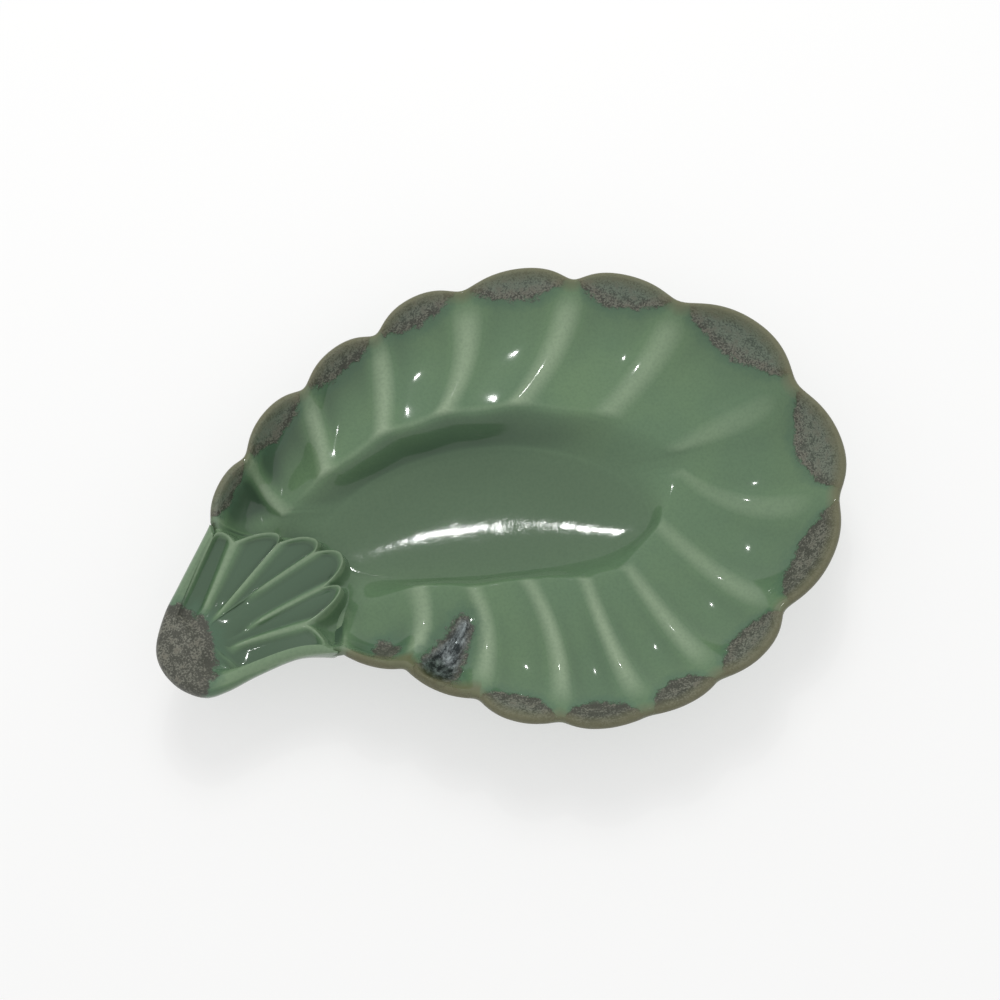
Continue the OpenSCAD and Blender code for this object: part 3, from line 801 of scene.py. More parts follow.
    lift = add(tree, "ShaderNodeCombineXYZ", {2: height})
    place = add(tree, vectors, {0: plan, 1: lift}, operation="ADD")
    skin = add(tree, "GeometryNodeSetPosition", {0: grid, "Position": place})
    for name, value in (("station", column), ("way", way), ("side", side)):
        skin = add(tree, "GeometryNodeStoreNamedAttribute",
                   {0: skin, "Name": name, "Value": value}, domain="POINT")
    skin = add(tree, "GeometryNodeMergeByDistance", {0: skin, "Distance": WELD * MM})
    close_tree(tree, skin, size["Material"])
    return tree


def make_leaf(material):
    """The pressed leaf, grown from its stations, with the plan set on the frame's leaf."""
    stations = all_stations()
    low = stations["lip"].min(0)
    high = stations["lip"].max(0)
    shift = (leaf_box[0][:2] + leaf_box[1][:2] - low - high) / 2
    fit = (leaf_box[1][:2] - leaf_box[0][:2] - 2 * FIT_CLEAR) / (high - low)
    count = len(stations["ridge"])
    guide = new_object("stations", np.zeros((count, 3)))
    flat = np.zeros((count, 1))
    for key in ("lip", "half", "crest", "edge"):
        stations[key] = (stations[key] - (low + high) / 2) * fit + (low + high) / 2 + shift
        set_attribute(guide, key, np.hstack([stations[key], flat]) * MM)
    for key in ("inward", "away"):
        set_attribute(guide, key, np.hstack([stations[key], flat]))
    for key in ("rim_z", "crest_z"):
        set_attribute(guide, key, stations[key] * MM)
    for key in ("ridge", "straight", "lean"):
        set_attribute(guide, key, stations[key])
    table = ring_table()
    rings = new_object("rings", np.zeros((len(table["way"]), 3)))
    for key, values in table.items():
        set_attribute(rings, key, values)
    mid = FLOOR_MID + shift
    values = {
        "Rings": rings, "Wall": WALL_T * MM, "Lip Radius": LIP_R * MM, "Lip Height": LIP_H * MM,
        "Flute Dip": FLUTE_DIP * MM, "Ridge Dip": RIDGE_DIP * MM,
        "Ridge Rise": RIDGE_RISE * MM, "Ridge Behind": RIDGE_BEHIND,
        "Flute Power": FLUTE_POWER, "Ridge Power": RIDGE_POWER,
        "Well Rise": WELL_RISE * MM, "Floor Power": FLOOR_POWER,
        "Edge Height": EDGE_Z * MM, "Foot Height": FOOT_H * MM,
        "Root Power": ROOT_POWER, "Root Behind": ROOT_BEHIND, "Skirt Share": SKIRT_SHARE,
        "Line Rise": LINE_RISE * MM, "Line Width": LINE_W * MM,
        "Well X": mid[0] * MM, "Well Y": mid[1] * MM, "Material": material}
    leaf = grow("leaf", guide, leaf_tree(), values)
    bpy.data.objects.remove(rings)
    return leaf, stations, shift


# The grip

def fan_edge(at):
    """Crest of the fan's edge, counted in petals, bowed through a tip between two junctions."""
    start = np.clip(np.floor(at), 0, PETALS - 1).astype(int)
    part = (at - start)[:, None]
    table = np.column_stack([in_plan(FAN_SHARES), np.array(FAN_SHARES)[:, 2] * RIM_H])
    a, tip, b = table[2 * start], table[2 * start + 1], table[2 * start + 2]
    return mix(a, b, part) + (tip - (a + b) / 2) * (1 - np.abs(2 * part - 1) ** TIP_POWER)


def surface_height(tree, points):
    """Height of a surface under each point of the plan, in millimetres, nan where it has none."""
    heights = np.full(len(points), np.nan)
    for i, (x, y) in enumerate(points * MM):
        hit = tree.ray_cast(Vector((x, y, RAY_FROM)), Vector((0, 0, -1)))[0]
        if hit is not None:
            heights[i] = hit.z / MM
    return heights


def tree_of(thing):
    """A piece's surface, for rays and nearest points."""
    points = points_of(thing)[0]
    faces = [polygon.vertices[:] for polygon in thing.data.polygons]
    return BVHTree.FromPolygons((points * MM).tolist(), faces)


def out_way(root, end, r):
    """Points a share r of the way out from the fan's middle, turning at a root."""
    middle = in_plan(FAN_MID_SHARES)
    near = np.linalg.norm(root - middle, axis=-1, keepdims=True)
    turn = near / (near + np.linalg.norm(end - root, axis=-1, keepdims=True))
    inner = mix(middle, root, np.minimum(r / turn, 1))
    return mix(inner, end, np.clip((r - turn) / (1 - turn), 0, 1))


def fan_top(fan_at, mid_z, r):
    """Top of the fan a share r of the way out, round ridges of one width between grooves, and
    how far each point lies in a groove."""
    start = np.clip(np.floor(fan_at), 0, PETALS - 1).astype(int)
    part = (fan_at - start)[:, None]
    roots = in_plan(FAN_ROOT_SHARES)
    top = fan_edge(fan_at)
    root = mix(roots[start], roots[start + 1], part)
    junctions = out_way(roots, fan_edge(np.arange(PETALS + 1))[:, :2], r)
    wide = np.linalg.norm(junctions[start + 1] - junctions[start], axis=1) / 2
    side = 1 - soft_step((1 - np.abs(2 * part[:, 0] - 1)) * wide / PETAL_SIDE)
    fade = soft_step((r - np.array(FADE_SHARES)) / FADE_RUN)
    side = side * mix(fade[start], fade[start + 1], part[:, 0])
    middle = in_plan(FAN_MID_SHARES)
    far = np.linalg.norm(root - middle, axis=1) + np.linalg.norm(top[:, :2] - root, axis=1)
    groove = (1 - side) * soft_step((1 - r) * far / PETAL_SIDE)
    depth = PETAL_D * mix(PETAL_ROOT_SHARE, 1, r) * soft_step((r - GROOVE_START) / GROOVE_RUN)
    height = mix(mid_z, top[:, 2], r ** DROOP_POWER) - depth * groove
    return np.column_stack([out_way(root, top[:, :2], r), height]), groove


def step_foot(fan_at, top):
    """Where the edge of the fan stands on the leaf, run out on the rim at both its ends."""
    foot = soften(top[:, :2], PETAL_N * FOOT_SOFT_SHARE)
    along = np.gradient(foot, axis=0)
    foot = foot + unit(np.column_stack([-along[:, 1], along[:, 0]])) * STEP_OUT
    for end, corner in ((fan_at, ROOT_CORNERS[0]), (PETALS - fan_at, ROOT_CORNERS[1])):
        foot = mix(foot, in_plan(corner), soft_step(1 - end / CORNER_REACH)[:, None])
    return foot


def bead_lines(line_at, top):
    """The outline and the bead's crest, how near each point is to an end, and the hollow."""
    outline = in_plan(GRIP_SHARES)
    at = line_at * (len(outline) - 1)
    side = spline(outline, at)
    step = spline(outline, at + LINE_STEP) - spline(outline, at - LINE_STEP)
    inner = unit(np.stack([step[:, 1], -step[:, 0]], -1))
    ends = np.abs(2 * line_at - 1) ** END_POWER
    inset = BEAD_W / 2 * spline(BEAD_SHARES, at)[:, None]
    crest_line = np.column_stack([side + inner * inset, np.full(len(at), GRIP_H)])
    near = np.where(line_at[:, None] < .5, top[-1:], top[:1])
    return {
        "at": line_at, "side": side, "ends": ends, "crest": crest_line,
        "bead": mix(crest_line, near, ends[:, None]),
        "side_z": mix(GRIP_H - GRIP_T * BEAD_SIDE_SHARE, RIM_H - NOTCH_DROP - WALL_T / 4, ends),
        "root": in_plan(spline(GRIP_ROOT_SHARES, at)),
        "hollow": spline(HOLLOW_SHARES, at) * HOLLOW_D,
        "level": np.clip(spline(LEVEL_SHARES, at), 0, 1)}


def over_top(fan_at, line):
    """Rows from the fan's middle to the crest line, and the grooves in each."""
    mid_z = RIM_H * FAN_SHARES[0][2] - MID_DROP
    crest_line = line["crest"][:, :2]
    reach = np.linalg.norm(crest_line - in_plan(FAN_MID_SHARES), axis=1)
    rows, grooves = [], []
    for r in np.linspace(0, 1, TOP_ROWS):
        petals, groove = fan_top(fan_at, mid_z, r)
        grooves.append(np.append(groove, np.where(line["at"] < .5, groove[-1], groove[0])))
        rise = mix(r ** BEAD_RISE_POWER, soft_step(r / LEVEL_RUN), line["level"])
        dip = line["hollow"] * soft_step(r / HOLLOW_RUN)
        dip = dip * soft_step((1 - r) * reach / BEAD_W)
        own = np.column_stack([out_way(line["root"], crest_line, r),
                               mix(mid_z, GRIP_H, rise) - dip])
        near = np.where(line["at"][:, None] < .5, petals[-1:], petals[:1])
        rows.append(np.concatenate([petals, mix(own, near, line["ends"][:, None])]))
    return rows, grooves


def down_edge(fan_at, top, line, leaf_surface, shift):
    """Rows down the edge of the fan to the leaf, and round the bead to the outline."""
    foot = step_foot(fan_at, top)
    steps = np.linspace(0, 1, STEP_ROWS)[1:]
    plans = [mix(top[:, :2], foot, q) for q in steps]
    grounds = [surface_height(leaf_surface, plan + shift) for plan in plans]
    on_leaf = np.isfinite(grounds[-1])
    grounds[-1] = np.interp(fan_at, fan_at[on_leaf], grounds[-1][on_leaf])
    for row in range(len(steps) - 1, 0, -1):
        beyond = np.isnan(grounds[row - 1])
        grounds[row - 1][beyond] = grounds[row][beyond]
    rows = []
    for q, plan, ground in zip(steps, plans, grounds):
        left = (1 - q) ** STEP_POWER * (1 + STEP_POWER * q)
        fan_z = mix(ground, top[:, 2], left) - SINK * q
        turn = math.pi / 2 * q
        over = mix(line["bead"][:, :2], line["side"], math.sin(turn))
        over_z = mix(line["bead"][:, 2], line["side_z"], 1 - math.cos(turn))
        rows.append(np.column_stack([np.concatenate([plan, over]),
                                     np.concatenate([fan_z, over_z])]))
    return rows


def underneath(fan_at, start, line, wall, leaf_surface, shift):
    """Rows hidden in the leaf's wall under the fan, and round the underside of the grip."""
    under = in_plan(UNDER_MID_SHARES)
    under_z = GRIP_H - GRIP_T
    ends = line["ends"]
    low_z = mix(under_z, RIM_H - NOTCH_DROP - WALL_T, ends)
    wall_z = surface_height(leaf_surface, wall + shift) - WALL_T / 2
    on_leaf = np.isfinite(wall_z)
    wall_z = np.interp(fan_at, fan_at[on_leaf], wall_z[on_leaf])
    rows = []
    for q in np.linspace(0, 1, UNDER_ROWS + 1)[1:-1]:
        into = soft_step(q / TUCK_SHARE)
        plan = mix(start[:, :2], wall, into[..., None])
        deep = mix(start[:, 2] - SINK * into, wall_z, into)
        inward = max(0, (q - TUCK_SHARE) / (1 - TUCK_SHARE))
        plan = mix(plan, under, inward)
        fan_z = mix(deep, under_z, soft_step(inward * TUCK_PACE))
        turn = math.pi / 2 * min(1, q / UNDER_TURN_SHARE)
        rounded = GRIP_T * UNDER_ROUND_SHARE / UNDER_REACH * (1 - math.cos(turn))
        run = mix(rounded, 1, inward ** UNDER_POWER)
        run = run * (1 - ends) + ends * q ** UNDER_END_POWER
        grip_z = mix(line["side_z"], low_z, math.sin(turn))
        grip_z = mix(grip_z, under_z, np.clip(run, 0, 1))
        own = mix(line["side"], under, run[:, None])
        rows.append(np.column_stack([np.concatenate([plan, own]),
                                     np.concatenate([fan_z, grip_z])]))
    return rows


def grip_columns(root, leaf_surface, shift):
    """Rows of points of the grip, the middle of its underside, and how much of each point is
    the fan's and lies in a groove. The fan's columns come first, from its left end, then those
    of the bead from its right end."""
    fan_at = np.linspace(0, PETALS, PETALS * PETAL_N + 1)
    line_at = np.linspace(0, 1, GRIP_N + 1)[1:-1]
    top = fan_edge(fan_at)
    line = bead_lines(line_at, top)
    rows, grooves = over_top(fan_at, line)
    rows += down_edge(fan_at, top, line, leaf_surface, shift)
    lip, edge = root
    share = 1 - fan_at / PETALS
    wall = mix(lip(share), edge(share), TUCK_IN_SHARE)
    rows += underneath(fan_at, rows[-1][:len(fan_at)], line, wall, leaf_surface, shift)
    rows = np.array(rows)
    rows[..., :2] += shift

    # The underside is smoothed round its rings, and the fan's glaze fades into the bead's
    count = rows.shape[1]
    for row, share in zip(rows[-UNDER_ROWS:], np.linspace(0, 1, UNDER_ROWS)):
        soft = soften(np.tile(row[:, 2], 3), UNDER_SOFT)[count:-count]
        row[:, 2] = mix(row[:, 2], soft, soft_step(share * 2))
    grooves += [np.zeros(count)] * (len(rows) - TOP_ROWS)
    fan = (np.arange(count) < len(fan_at)) * 1.0
    fan = soften(np.tile(fan, 3), FAN_FADE)[count:-count]
    fan = (np.arange(len(rows)) < TOP_ROWS)[:, None] * fan
    bottom = np.append(in_plan(UNDER_MID_SHARES) + shift, GRIP_H - GRIP_T)
    return rows, bottom, fan, np.array(grooves)


def ringed(rows, bottom):
    """Points and faces of a closed skin of rings, from a first ring that is one point."""
    count = rows.shape[1]
    points = np.concatenate([rows[:1, 0], rows[1:].reshape(-1, 3), [bottom]])
    last = len(rows) - 2
    faces = []
    for i in range(count):
        j = (i + 1) % count
        faces.append((0, 1 + i, 1 + j))
        for ring in range(last):
            a, b = 1 + ring * count + i, 1 + ring * count + j
            faces.append((a, a + count, b + count, b))
        faces.append((1 + last * count + i, len(points) - 1, 1 + last * count + j))
    return points, [face[::-1] for face in faces]


def make_grip(stations, leaf_surface, shift, material):
    """The stem grip and its fan of petals, luted over the low stretch of the leaf's rim."""
    hidden = stations["lobe"] >= LOBES
    share = stations["lobe"][hidden] - LOBES

    def at(rows, g):
        near = mix(share[0], share[-1], g)
        return np.column_stack([np.interp(near, share, rows[hidden][:, i])
                                for i in (0, 1)]) - shift

    def lip(g):
        return at(stations["lip"] + stations["inward"] * LIP_R * TUCK_LIP, g)

    def edge(g):
        return at(stations["edge"], g)

    rows, bottom, *glaze = grip_columns((lip, edge), leaf_surface, shift)
    points, faces = ringed(rows, bottom)
    grip = new_object("grip", points, faces, material)
    for name, values in zip(("fan", "groove"), glaze):
        set_attribute(grip, name, np.concatenate([[1], values[1:].ravel(), [0]]))
    return grip


def soften_fan(grip, shift):
    """Rounds the creases round the fan's middle, where its ridges start."""
    points, normals = points_of(grip)
    middle = in_plan(FAN_MID_SHARES) + shift
    low = points[:, :2].min(0) - POOL_EDGE
    grid = height_map(tree_of(grip), low, points[:, :2].max(0) + POOL_EDGE, -1)
    soft = sampled(blurred(grid, FAN_SOFT / POOL_GRID), points, low)
    far = np.linalg.norm(points[:, :2] - middle, axis=1)
    share = soft_step((INNER_REACH - far) / INNER_FADE) * (normals[:, 2] > .5)
    points[:, 2] = mix(points[:, 2], soft, share)
    grip.data.vertices.foreach_set("co", (points * MM).ravel())
    grip.data.update()


# The foot ring

def foot_tree():
    """The foot ring: a rounded section swept round the oval path that it is given."""
    tree, size = new_tree("foot_sweep", ["Width", "Land", "Height", "Round", "Drop"])
    path = add(tree, "GeometryNodeMeshToCurve", {0: size["Geometry"]})
    section = add(tree, "GeometryNodeCurvePrimitiveQuadrilateral",
                  {"Height": size["Height"], "Bottom Width": size["Land"],
                   "Top Width": size["Width"], "Offset": 0.0}, mode="TRAPEZOID")
    section = add(tree, "GeometryNodeFilletCurve",
                  {"Curve": section, "Radius": size["Round"], "Count": FOOT_ROUND_N},
                  mode="POLY")
    swept = add(tree, "GeometryNodeCurveToMesh", {0: path, 1: section})
    drop = add(tree, "ShaderNodeCombineXYZ", {2: size["Drop"]})
    swept = add(tree, "GeometryNodeSetPosition", {0: swept, "Offset": drop})
    close_tree(tree, swept, size["Material"])
    return tree


def make_foot(shift, material):
    """The foot ring, swept round the edge of the well's floor and sunk into the leaf."""
    path = oval(np.arange(FOOT_N) * 360 / FOOT_N) + shift
    guide = new_object("foot_path", np.column_stack([path, np.zeros(FOOT_N)]))
    guide.data.edges.add(FOOT_N)
    ends = [(i, (i + 1) % FOOT_N) for i in range(FOOT_N)]
    guide.data.edges.foreach_set("vertices", np.ravel(ends))
    values = {"Width": FOOT_W * MM, "Land": LAND_W * MM, "Height": (FOOT_H + SINK) * MM,
              "Round": FOOT_ROUND * MM, "Drop": (FOOT_H + SINK) / 2 * MM, "Material": material}
    return grow("foot", guide, foot_tree(), values)


# Where the glaze is thick, thin and dark, and where light and shade are painted on the well's wall
# and crest

def height_map(surface, low, high, way):
    """Heights over a grid of the plan, seen from above or from below, nan off the piece."""
    xs = np.arange(low[0], high[0], POOL_GRID)
    ys = np.arange(low[1], high[1], POOL_GRID)
    grid = np.full((len(xs), len(ys)), np.nan)
    for i, x in enumerate(xs * MM):
        for j, y in enumerate(ys * MM):
            hit = surface.ray_cast(Vector((x, y, -RAY_FROM * way)), Vector((0, 0, way)))[0]
            if hit is not None:
                grid[i, j] = hit.z / MM
    return grid


def blurred(grid, width):
    """A grid smoothed both ways by a bell of that many cells, where it has values."""
    known = np.isfinite(grid)
    total = soften(soften(np.where(known, grid, 0), width).T, width).T
    weight = soften(soften(known * 1.0, width).T, width).T
    return np.where(known, total / np.maximum(weight, .01), 0)


def sampled(grid, points, low):
    """Values of a grid at points of the plan."""
    at = (points[:, :2] - low) / POOL_GRID
    i, j = np.floor(at).astype(int).T
    s, t = (at - np.floor(at)).T
    return mix(mix(grid[i, j], grid[i + 1, j], s), mix(grid[i, j + 1], grid[i + 1, j + 1], s), t)


def pool_of(thing, surface, other, blur, depth, thin):
    """How thick the glaze lies: above zero in a hollow or a joint, below zero over an edge."""
    points, normals = points_of(thing)
    low = points[:, :2].min(0) - POOL_EDGE
    high = points[:, :2].max(0) + POOL_EDGE
    sides = []
    for way in (-1, 1):
        grid = height_map(surface, low, high, way)
        rise = (grid - blurred(grid, blur / POOL_GRID)) * way
        sides.append(sampled(np.where(np.isfinite(grid), rise, 0), points, low))
    pool_and_shade = np.where(normals[:, 2] > 0, *sides) / depth
    gap = np.array([other.find_nearest(Vector(point))[3] for point in points * MM]) / MM
    pool_and_shade = pool_and_shade + JOINT_POOL * np.exp(-(gap / JOINT_REACH) ** 2)
    return np.clip(np.where(pool_and_shade < 0, pool_and_shade * thin, pool_and_shade), -1, 1)


def set_leaf_glaze(leaf, pool_and_shade, stations, shift):
    """Dark patches inside the lobes, the run and the spot, in millimetres inside their border,
    then the lip, the glaze's thickness with that of the ridges, and painted light and shade
    on the crest and down the far wall of the well."""
    points = points_of(leaf)[0]
    station = get_attribute(leaf, "station").round().astype(int)
    behind = get_attribute(leaf, "side") > .5
    lobe = stations["lobe"][station]
    number = np.minimum(np.floor(lobe), LOBES - 1).astype(int)
    lip = np.column_stack([stations["lip"], stations["rim_z"]])[station]
    far = np.linalg.norm(points - lip, axis=1)
    arch = np.clip(mix(-PATCH_GAP, 1, np.abs(np.sin(np.pi * lobe))), 0, 1) ** PATCH_ARCH
    depth = np.where(behind, PATCH_BEHIND, np.array(PATCH_DEPTHS)[number])
    patch = depth * arch - far
    patch = np.where(lobe >= LOBES, -far, patch)
    start, end = in_plan(RUN_SHARES) + shift
    along = np.clip((points[:, :2] - start) @ (end - start) / ((end - start) @ (end - start)), 0, 1)
    run = mix(*RUN_RADII, along) - np.linalg.norm(
        points[:, :2] - mix(start, end, along[:, None]), axis=1)
    spot = SPOT_R - np.linalg.norm(points[:, :2] - in_plan(SPOT_SHARES) - shift, axis=1)
    run = np.where(behind, -BORDER_FAR, run)
    patch = np.where(behind, patch, np.maximum.reduce([patch, run, spot]))
    set_attribute(leaf, "patch", np.clip(patch, -BORDER_FAR, BORDER_FAR))
    set_attribute(leaf, "run", np.clip(run, -BORDER_FAR, BORDER_FAR))
    set_attribute(leaf, "heart", np.array(HEARTS)[number])

    # The olive lip is wider on some lobes, and green where the grip's glaze runs over the root
    first, last = LIP_ENDS
    root = soft_step((lobe - LOBES + last) / last) + soft_step((first - lobe) / first)
    lip_w = np.array(LIP_WIDTHS)[number] * np.clip(1 - root, 0, 1)
    set_attribute(leaf, "lip", np.clip(far - lip_w, -BORDER_FAR, BORDER_FAR))

    # Thin over the ridges, thick in hollows, with painted shade down the far wall of the well and
    # the crest's pale edge and dark wall kept by side as painted light and shade, greyer on its
    # floor
    way = get_attribute(leaf, "way")
    strength = np.append(VEIN_SHARES, [0, 0])
    vein = np.abs(np.cos(np.pi * lobe)) ** VEIN_NARROW * np.interp(
        np.where(lobe < LOBES, lobe, LOBES + 1), np.arange(LOBES + 3), strength)
    vein = vein * fading(way, VEIN_SPANS[0]) * fading(way, VEIN_SPANS[1])
    wall = fading(way, WALL_SHADE_SPANS[0]) * fading(way, WALL_SHADE_SPANS[1])
    # Painted light and shade: on the far side the crest keeps its pale edge and the wall is painted
    # dark, on the near side neither
    side_shade = np.interp(lobe, np.arange(LOBES) + .5, CREST_LIGHT_SHADE)
    pool_and_shade = pool_and_shade * mix(1, side_shade, fading(way, CREST_SPAN))
    pool_and_shade = np.where(behind, pool_and_shade, pool_and_shade + WALL_SHADE * wall * side_shade - VEIN_THIN * vein)
    set_attribute(leaf, "pool_and_shade", np.clip(pool_and_shade, -1, 1))
    set_attribute(leaf, "floor", np.where(behind, 0, fading(way, FLOOR_SPAN)))


def set_grip_glaze(grip, pool_and_shade, shift):
    """The dark patch over the tip, and the glaze deep in the grooves and thin on the rims."""
    points = points_of(grip)[0]
    away = points[:, :2] - in_plan(TIP_SHARES) - shift
    patch = TIP_R - np.hypot(away[:, 0], away[:, 1] * TIP_SQUEEZE)
    patch = patch - np.maximum(0, GRIP_H - TIP_DROP - points[:, 2])
    set_attribute(grip, "patch", np.clip(patch, -BORDER_FAR, BORDER_FAR))
    petals = mix(-RIM_THIN, GROOVE_THICK, get_attribute(grip, "groove"))
    pool_and_shade = mix(pool_and_shade * BEAD_THIN, petals, get_attribute(grip, "fan"))
    set_attribute(grip, "pool_and_shade", np.clip(pool_and_shade, -1, 1))
    for name, value in (("run", -BORDER_FAR), ("lip", BORDER_FAR), ("heart", TIP_HEART),
                        ("floor", 0)):
        set_attribute(grip, name, np.full(len(points), value, float))


# Materials

NOISE, RANGE = "ShaderNodeTexNoise", "ShaderNodeMapRange"
MATHS, MIX, BUMP = "ShaderNodeMath", "ShaderNodeMix", "ShaderNodeBump"


def linear(code):
    """Linear colour of an sRGB hex value."""
    parts = [int(code[i:i + 2], 16) / 255 for i in (1, 3, 5)]
    return [p / 12.92 if p <= .04045 else ((p + .055) / 1.055) ** 2.4 for p in parts] + [1]


def per(size):
    """Scale of a pattern on Object coordinates whose features are that many millimetres."""
    return 1 / (size * MM)


def new_material(name):
    """A material with an empty tree."""
    material = bpy.data.materials.new(name)
    material.use_nodes = True
    tree = material.node_tree
    tree.nodes.clear()
    return material, tree


def celadon_glaze():
    """Celadon on stoneware, poured and fired: deep green where it pools and in the shade painted
    down the far wall of the well, pale where it thins over an edge and, as painted light, on the
    far crest, glassy, with matt iron crystals in the dark patches inside the lobes, and on one
    flute a run of glaze whose iron came out of the kiln as a dark metal sheen."""
    material, tree = new_material("celadon_glaze")
    place = add(tree, "ShaderNodeTexCoord").node.outputs["Object"]
    pool_and_shade, patch, run, lip, heart, floor = [
        add(tree, "ShaderNodeAttribute", attribute_name=name).node.outputs["Fac"]
        for name in ("pool_and_shade", "patch", "run", "lip", "heart", "floor")]
    cloud, speck, wander, fray, grain, blotch, wave = [
        add(tree, NOISE, {"Vector": place, "Scale": per(size), "Detail": detail,
                          "Roughness": rough})
        for size, detail, rough in (
            (CLOUD_W, 2, .5), (SPECK_W, 3, .5), (WANDER_W, 2, .5), (FRAY_W, 5, .75),
            (GRAIN_W, 3, .65), (BLOTCH_W, 3, .6), (WAVE_W, 1, .5))]
    start, end = in_plan(RUN_SHARES)
    down = math.atan2(*(end - start)[::-1])
    drawn = add(tree, "ShaderNodeMapping",
                {"Vector": place, "Rotation": (0, 0, down), "Scale": (STREAK_LONG, 1, 1)},
                vector_type="TEXTURE")
    streak = add(tree, NOISE, {"Vector": drawn, "Scale": per(STREAK_W), "Detail": 3,
                               "Roughness": .65})

    # The green: clouded, greyer on the floor, deep in a pool and in the painted shade down the far
    # wall of the well, pale on an edge and on the painted light of the far crest, faintly specked.
    # Each layer starts where its source has the first value and is full at the second
    green = linear(GREEN)
    for source, low, high, most, code in (
            (cloud, .35, .65, 1, GREEN_CLOUD), (floor, 0, 1, 1, FLOOR), (pool_and_shade, .05, .9, 1, DEEP),
            (pool_and_shade, -.05, -.75, 1, THIN), (speck, .4, .7, .18, DEEP)):
        share = add(tree, RANGE, {0: source, 1: low, 2: high, 4: most})
        green = add(tree, MIX, {0: share, 6: green, 7: linear(code)}, data_type="RGBA")

    # The border of a patch frays over a few millimetres, with a deeper green round it
    frayed = add(tree, MATHS, {0: fray, 1: FRAY_REACH, 2: patch}, operation="MULTIPLY_ADD")
    frayed = add(tree, MATHS, {0: frayed, 1: FRAY_REACH / 2}, operation="SUBTRACT")
    share = add(tree, RANGE, {0: frayed, 1: -5.0, 2: -.3, 4: .7})
    green = add(tree, MIX, {0: share, 6: green, 7: linear(HALO)}, data_type="RGBA")
    mask = add(tree, RANGE, {0: frayed, 1: -.5, 2: .8})

    # Crystals grow pale over dark iron, thicker away from the ragged border, and a heart goes
    # grey green where the glaze closes over them
    inner = add(tree, RANGE, {0: frayed, 1: 2.0, 2: 5.5})
    share = add(tree, MATHS, {0: inner, 1: heart}, operation="MULTIPLY")
    dark = add(tree, MIX, {0: share, 6: linear(IRON), 7: linear(SLATE)}, data_type="RGBA")
    pale = add(tree, MIX, {0: share, 6: linear(ASH), 7: linear(MOSS)}, data_type="RGBA")
    rusty = add(tree, RANGE, {0: blotch, 1: .52, 2: .68, 4: .4})
    pale = add(tree, MIX, {0: rusty, 6: pale, 7: linear(RUST)}, data_type="RGBA")
    share = add(tree, MATHS, {0: blotch, 1: .6, 2: grain}, operation="MULTIPLY_ADD")
    share = add(tree, MATHS, {0: inner, 1: .07, 2: share}, operation="MULTIPLY_ADD")
    share = add(tree, MATHS, {0: heart, 1: .05, 2: share}, operation="MULTIPLY_ADD")
    share = add(tree, RANGE, {0: share, 1: .79, 2: .93})
    dark = add(tree, MIX, {0: share, 6: dark, 7: pale}, data_type="RGBA")

    # The run is gunmetal, streaked with silver along the way that it ran
    shine = add(tree, RANGE, {0: run, 1: .5, 2: 3.5})
    share = add(tree, MATHS, {0: grain, 1: .3, 2: streak}, operation="MULTIPLY_ADD")
    share = add(tree, RANGE, {0: share, 1: .56, 2: .86})
    metal = add(tree, MIX, {0: share, 6: linear(GUNMETAL), 7: linear(SILVER)}, data_type="RGBA")
    dark = add(tree, MIX, {0: shine, 6: dark, 7: metal}, data_type="RGBA")
    colour = add(tree, MIX, {0: mask, 6: green, 7: dark}, data_type="RGBA")

    # The lip, where the glaze runs off and the iron in the body shows olive
    bare = add(tree, MATHS, {0: wander, 1: WANDER_REACH, 2: lip}, operation="MULTIPLY_ADD")
    share = add(tree, RANGE, {0: bare, 1: 4.2, 2: -.8, 4: .85})
    colour = add(tree, MIX, {0: share, 6: colour, 7: linear(LIP)}, data_type="RGBA")

    # Glassy glaze with a weaker mirror on the floor, crystals matt in the patches, and metal
    # in the run
    rough = add(tree, RANGE, {0: floor, 3: GLOSS, 4: FLOOR_GLOSS})
    mirror = add(tree, RANGE, {0: floor, 3: .5, 4: FLOOR_MIRROR})
    matt = add(tree, RANGE, {0: grain, 1: .3, 2: .7, 3: .35, 4: .55})
    matt = add(tree, MIX, {0: shine, 2: matt, 3: RUN_GLOSS})
    rough = add(tree, MIX, {0: mask, 2: rough, 3: matt})
    lustre = add(tree, MATHS, {0: shine, 1: mask}, operation="MULTIPLY")
    lustre = add(tree, MATHS, {0: lustre, 1: RUN_METAL}, operation="MULTIPLY")

    # The run bulges, crystals stand up everywhere but in it, the floor is pitted, and the
    # whole glaze waves a little
    crystals = add(tree, MATHS, {0: grain, 1: mask}, operation="MULTIPLY")
    sunk = add(tree, RANGE, {0: shine, 3: 1.0, 4: .03})
    crystals = add(tree, MATHS, {0: crystals, 1: sunk}, operation="MULTIPLY")
    pits = add(tree, MATHS, {0: speck, 1: floor}, operation="MULTIPLY")
    slope = add(tree, RANGE, {0: run, 1: -.5, 2: 8.0, 3: 1.0, 4: 0.0})
    bulge = add(tree, MATHS, {0: slope, 1: slope}, operation="MULTIPLY")
    bulge = add(tree, MATHS, {0: 1.0, 1: bulge}, operation="SUBTRACT")
    bump = add(tree, BUMP, {"Height": bulge, "Distance": RUN_RISE * MM})
    for height, rise in ((crystals, CRYSTAL_RISE), (pits, PIT_D), (wave, WAVE_D)):
        bump = add(tree, BUMP, {"Height": height, "Distance": rise * MM, "Normal": bump})
    surface = add(tree, "ShaderNodeBsdfPrincipled",
                  {"Base Color": colour, "Roughness": rough, "Normal": bump, "IOR": GLAZE_IOR,
                   "Specular IOR Level": mirror, "Metallic": lustre})
    add(tree, "ShaderNodeOutputMaterial", {"Surface": surface})
    return material


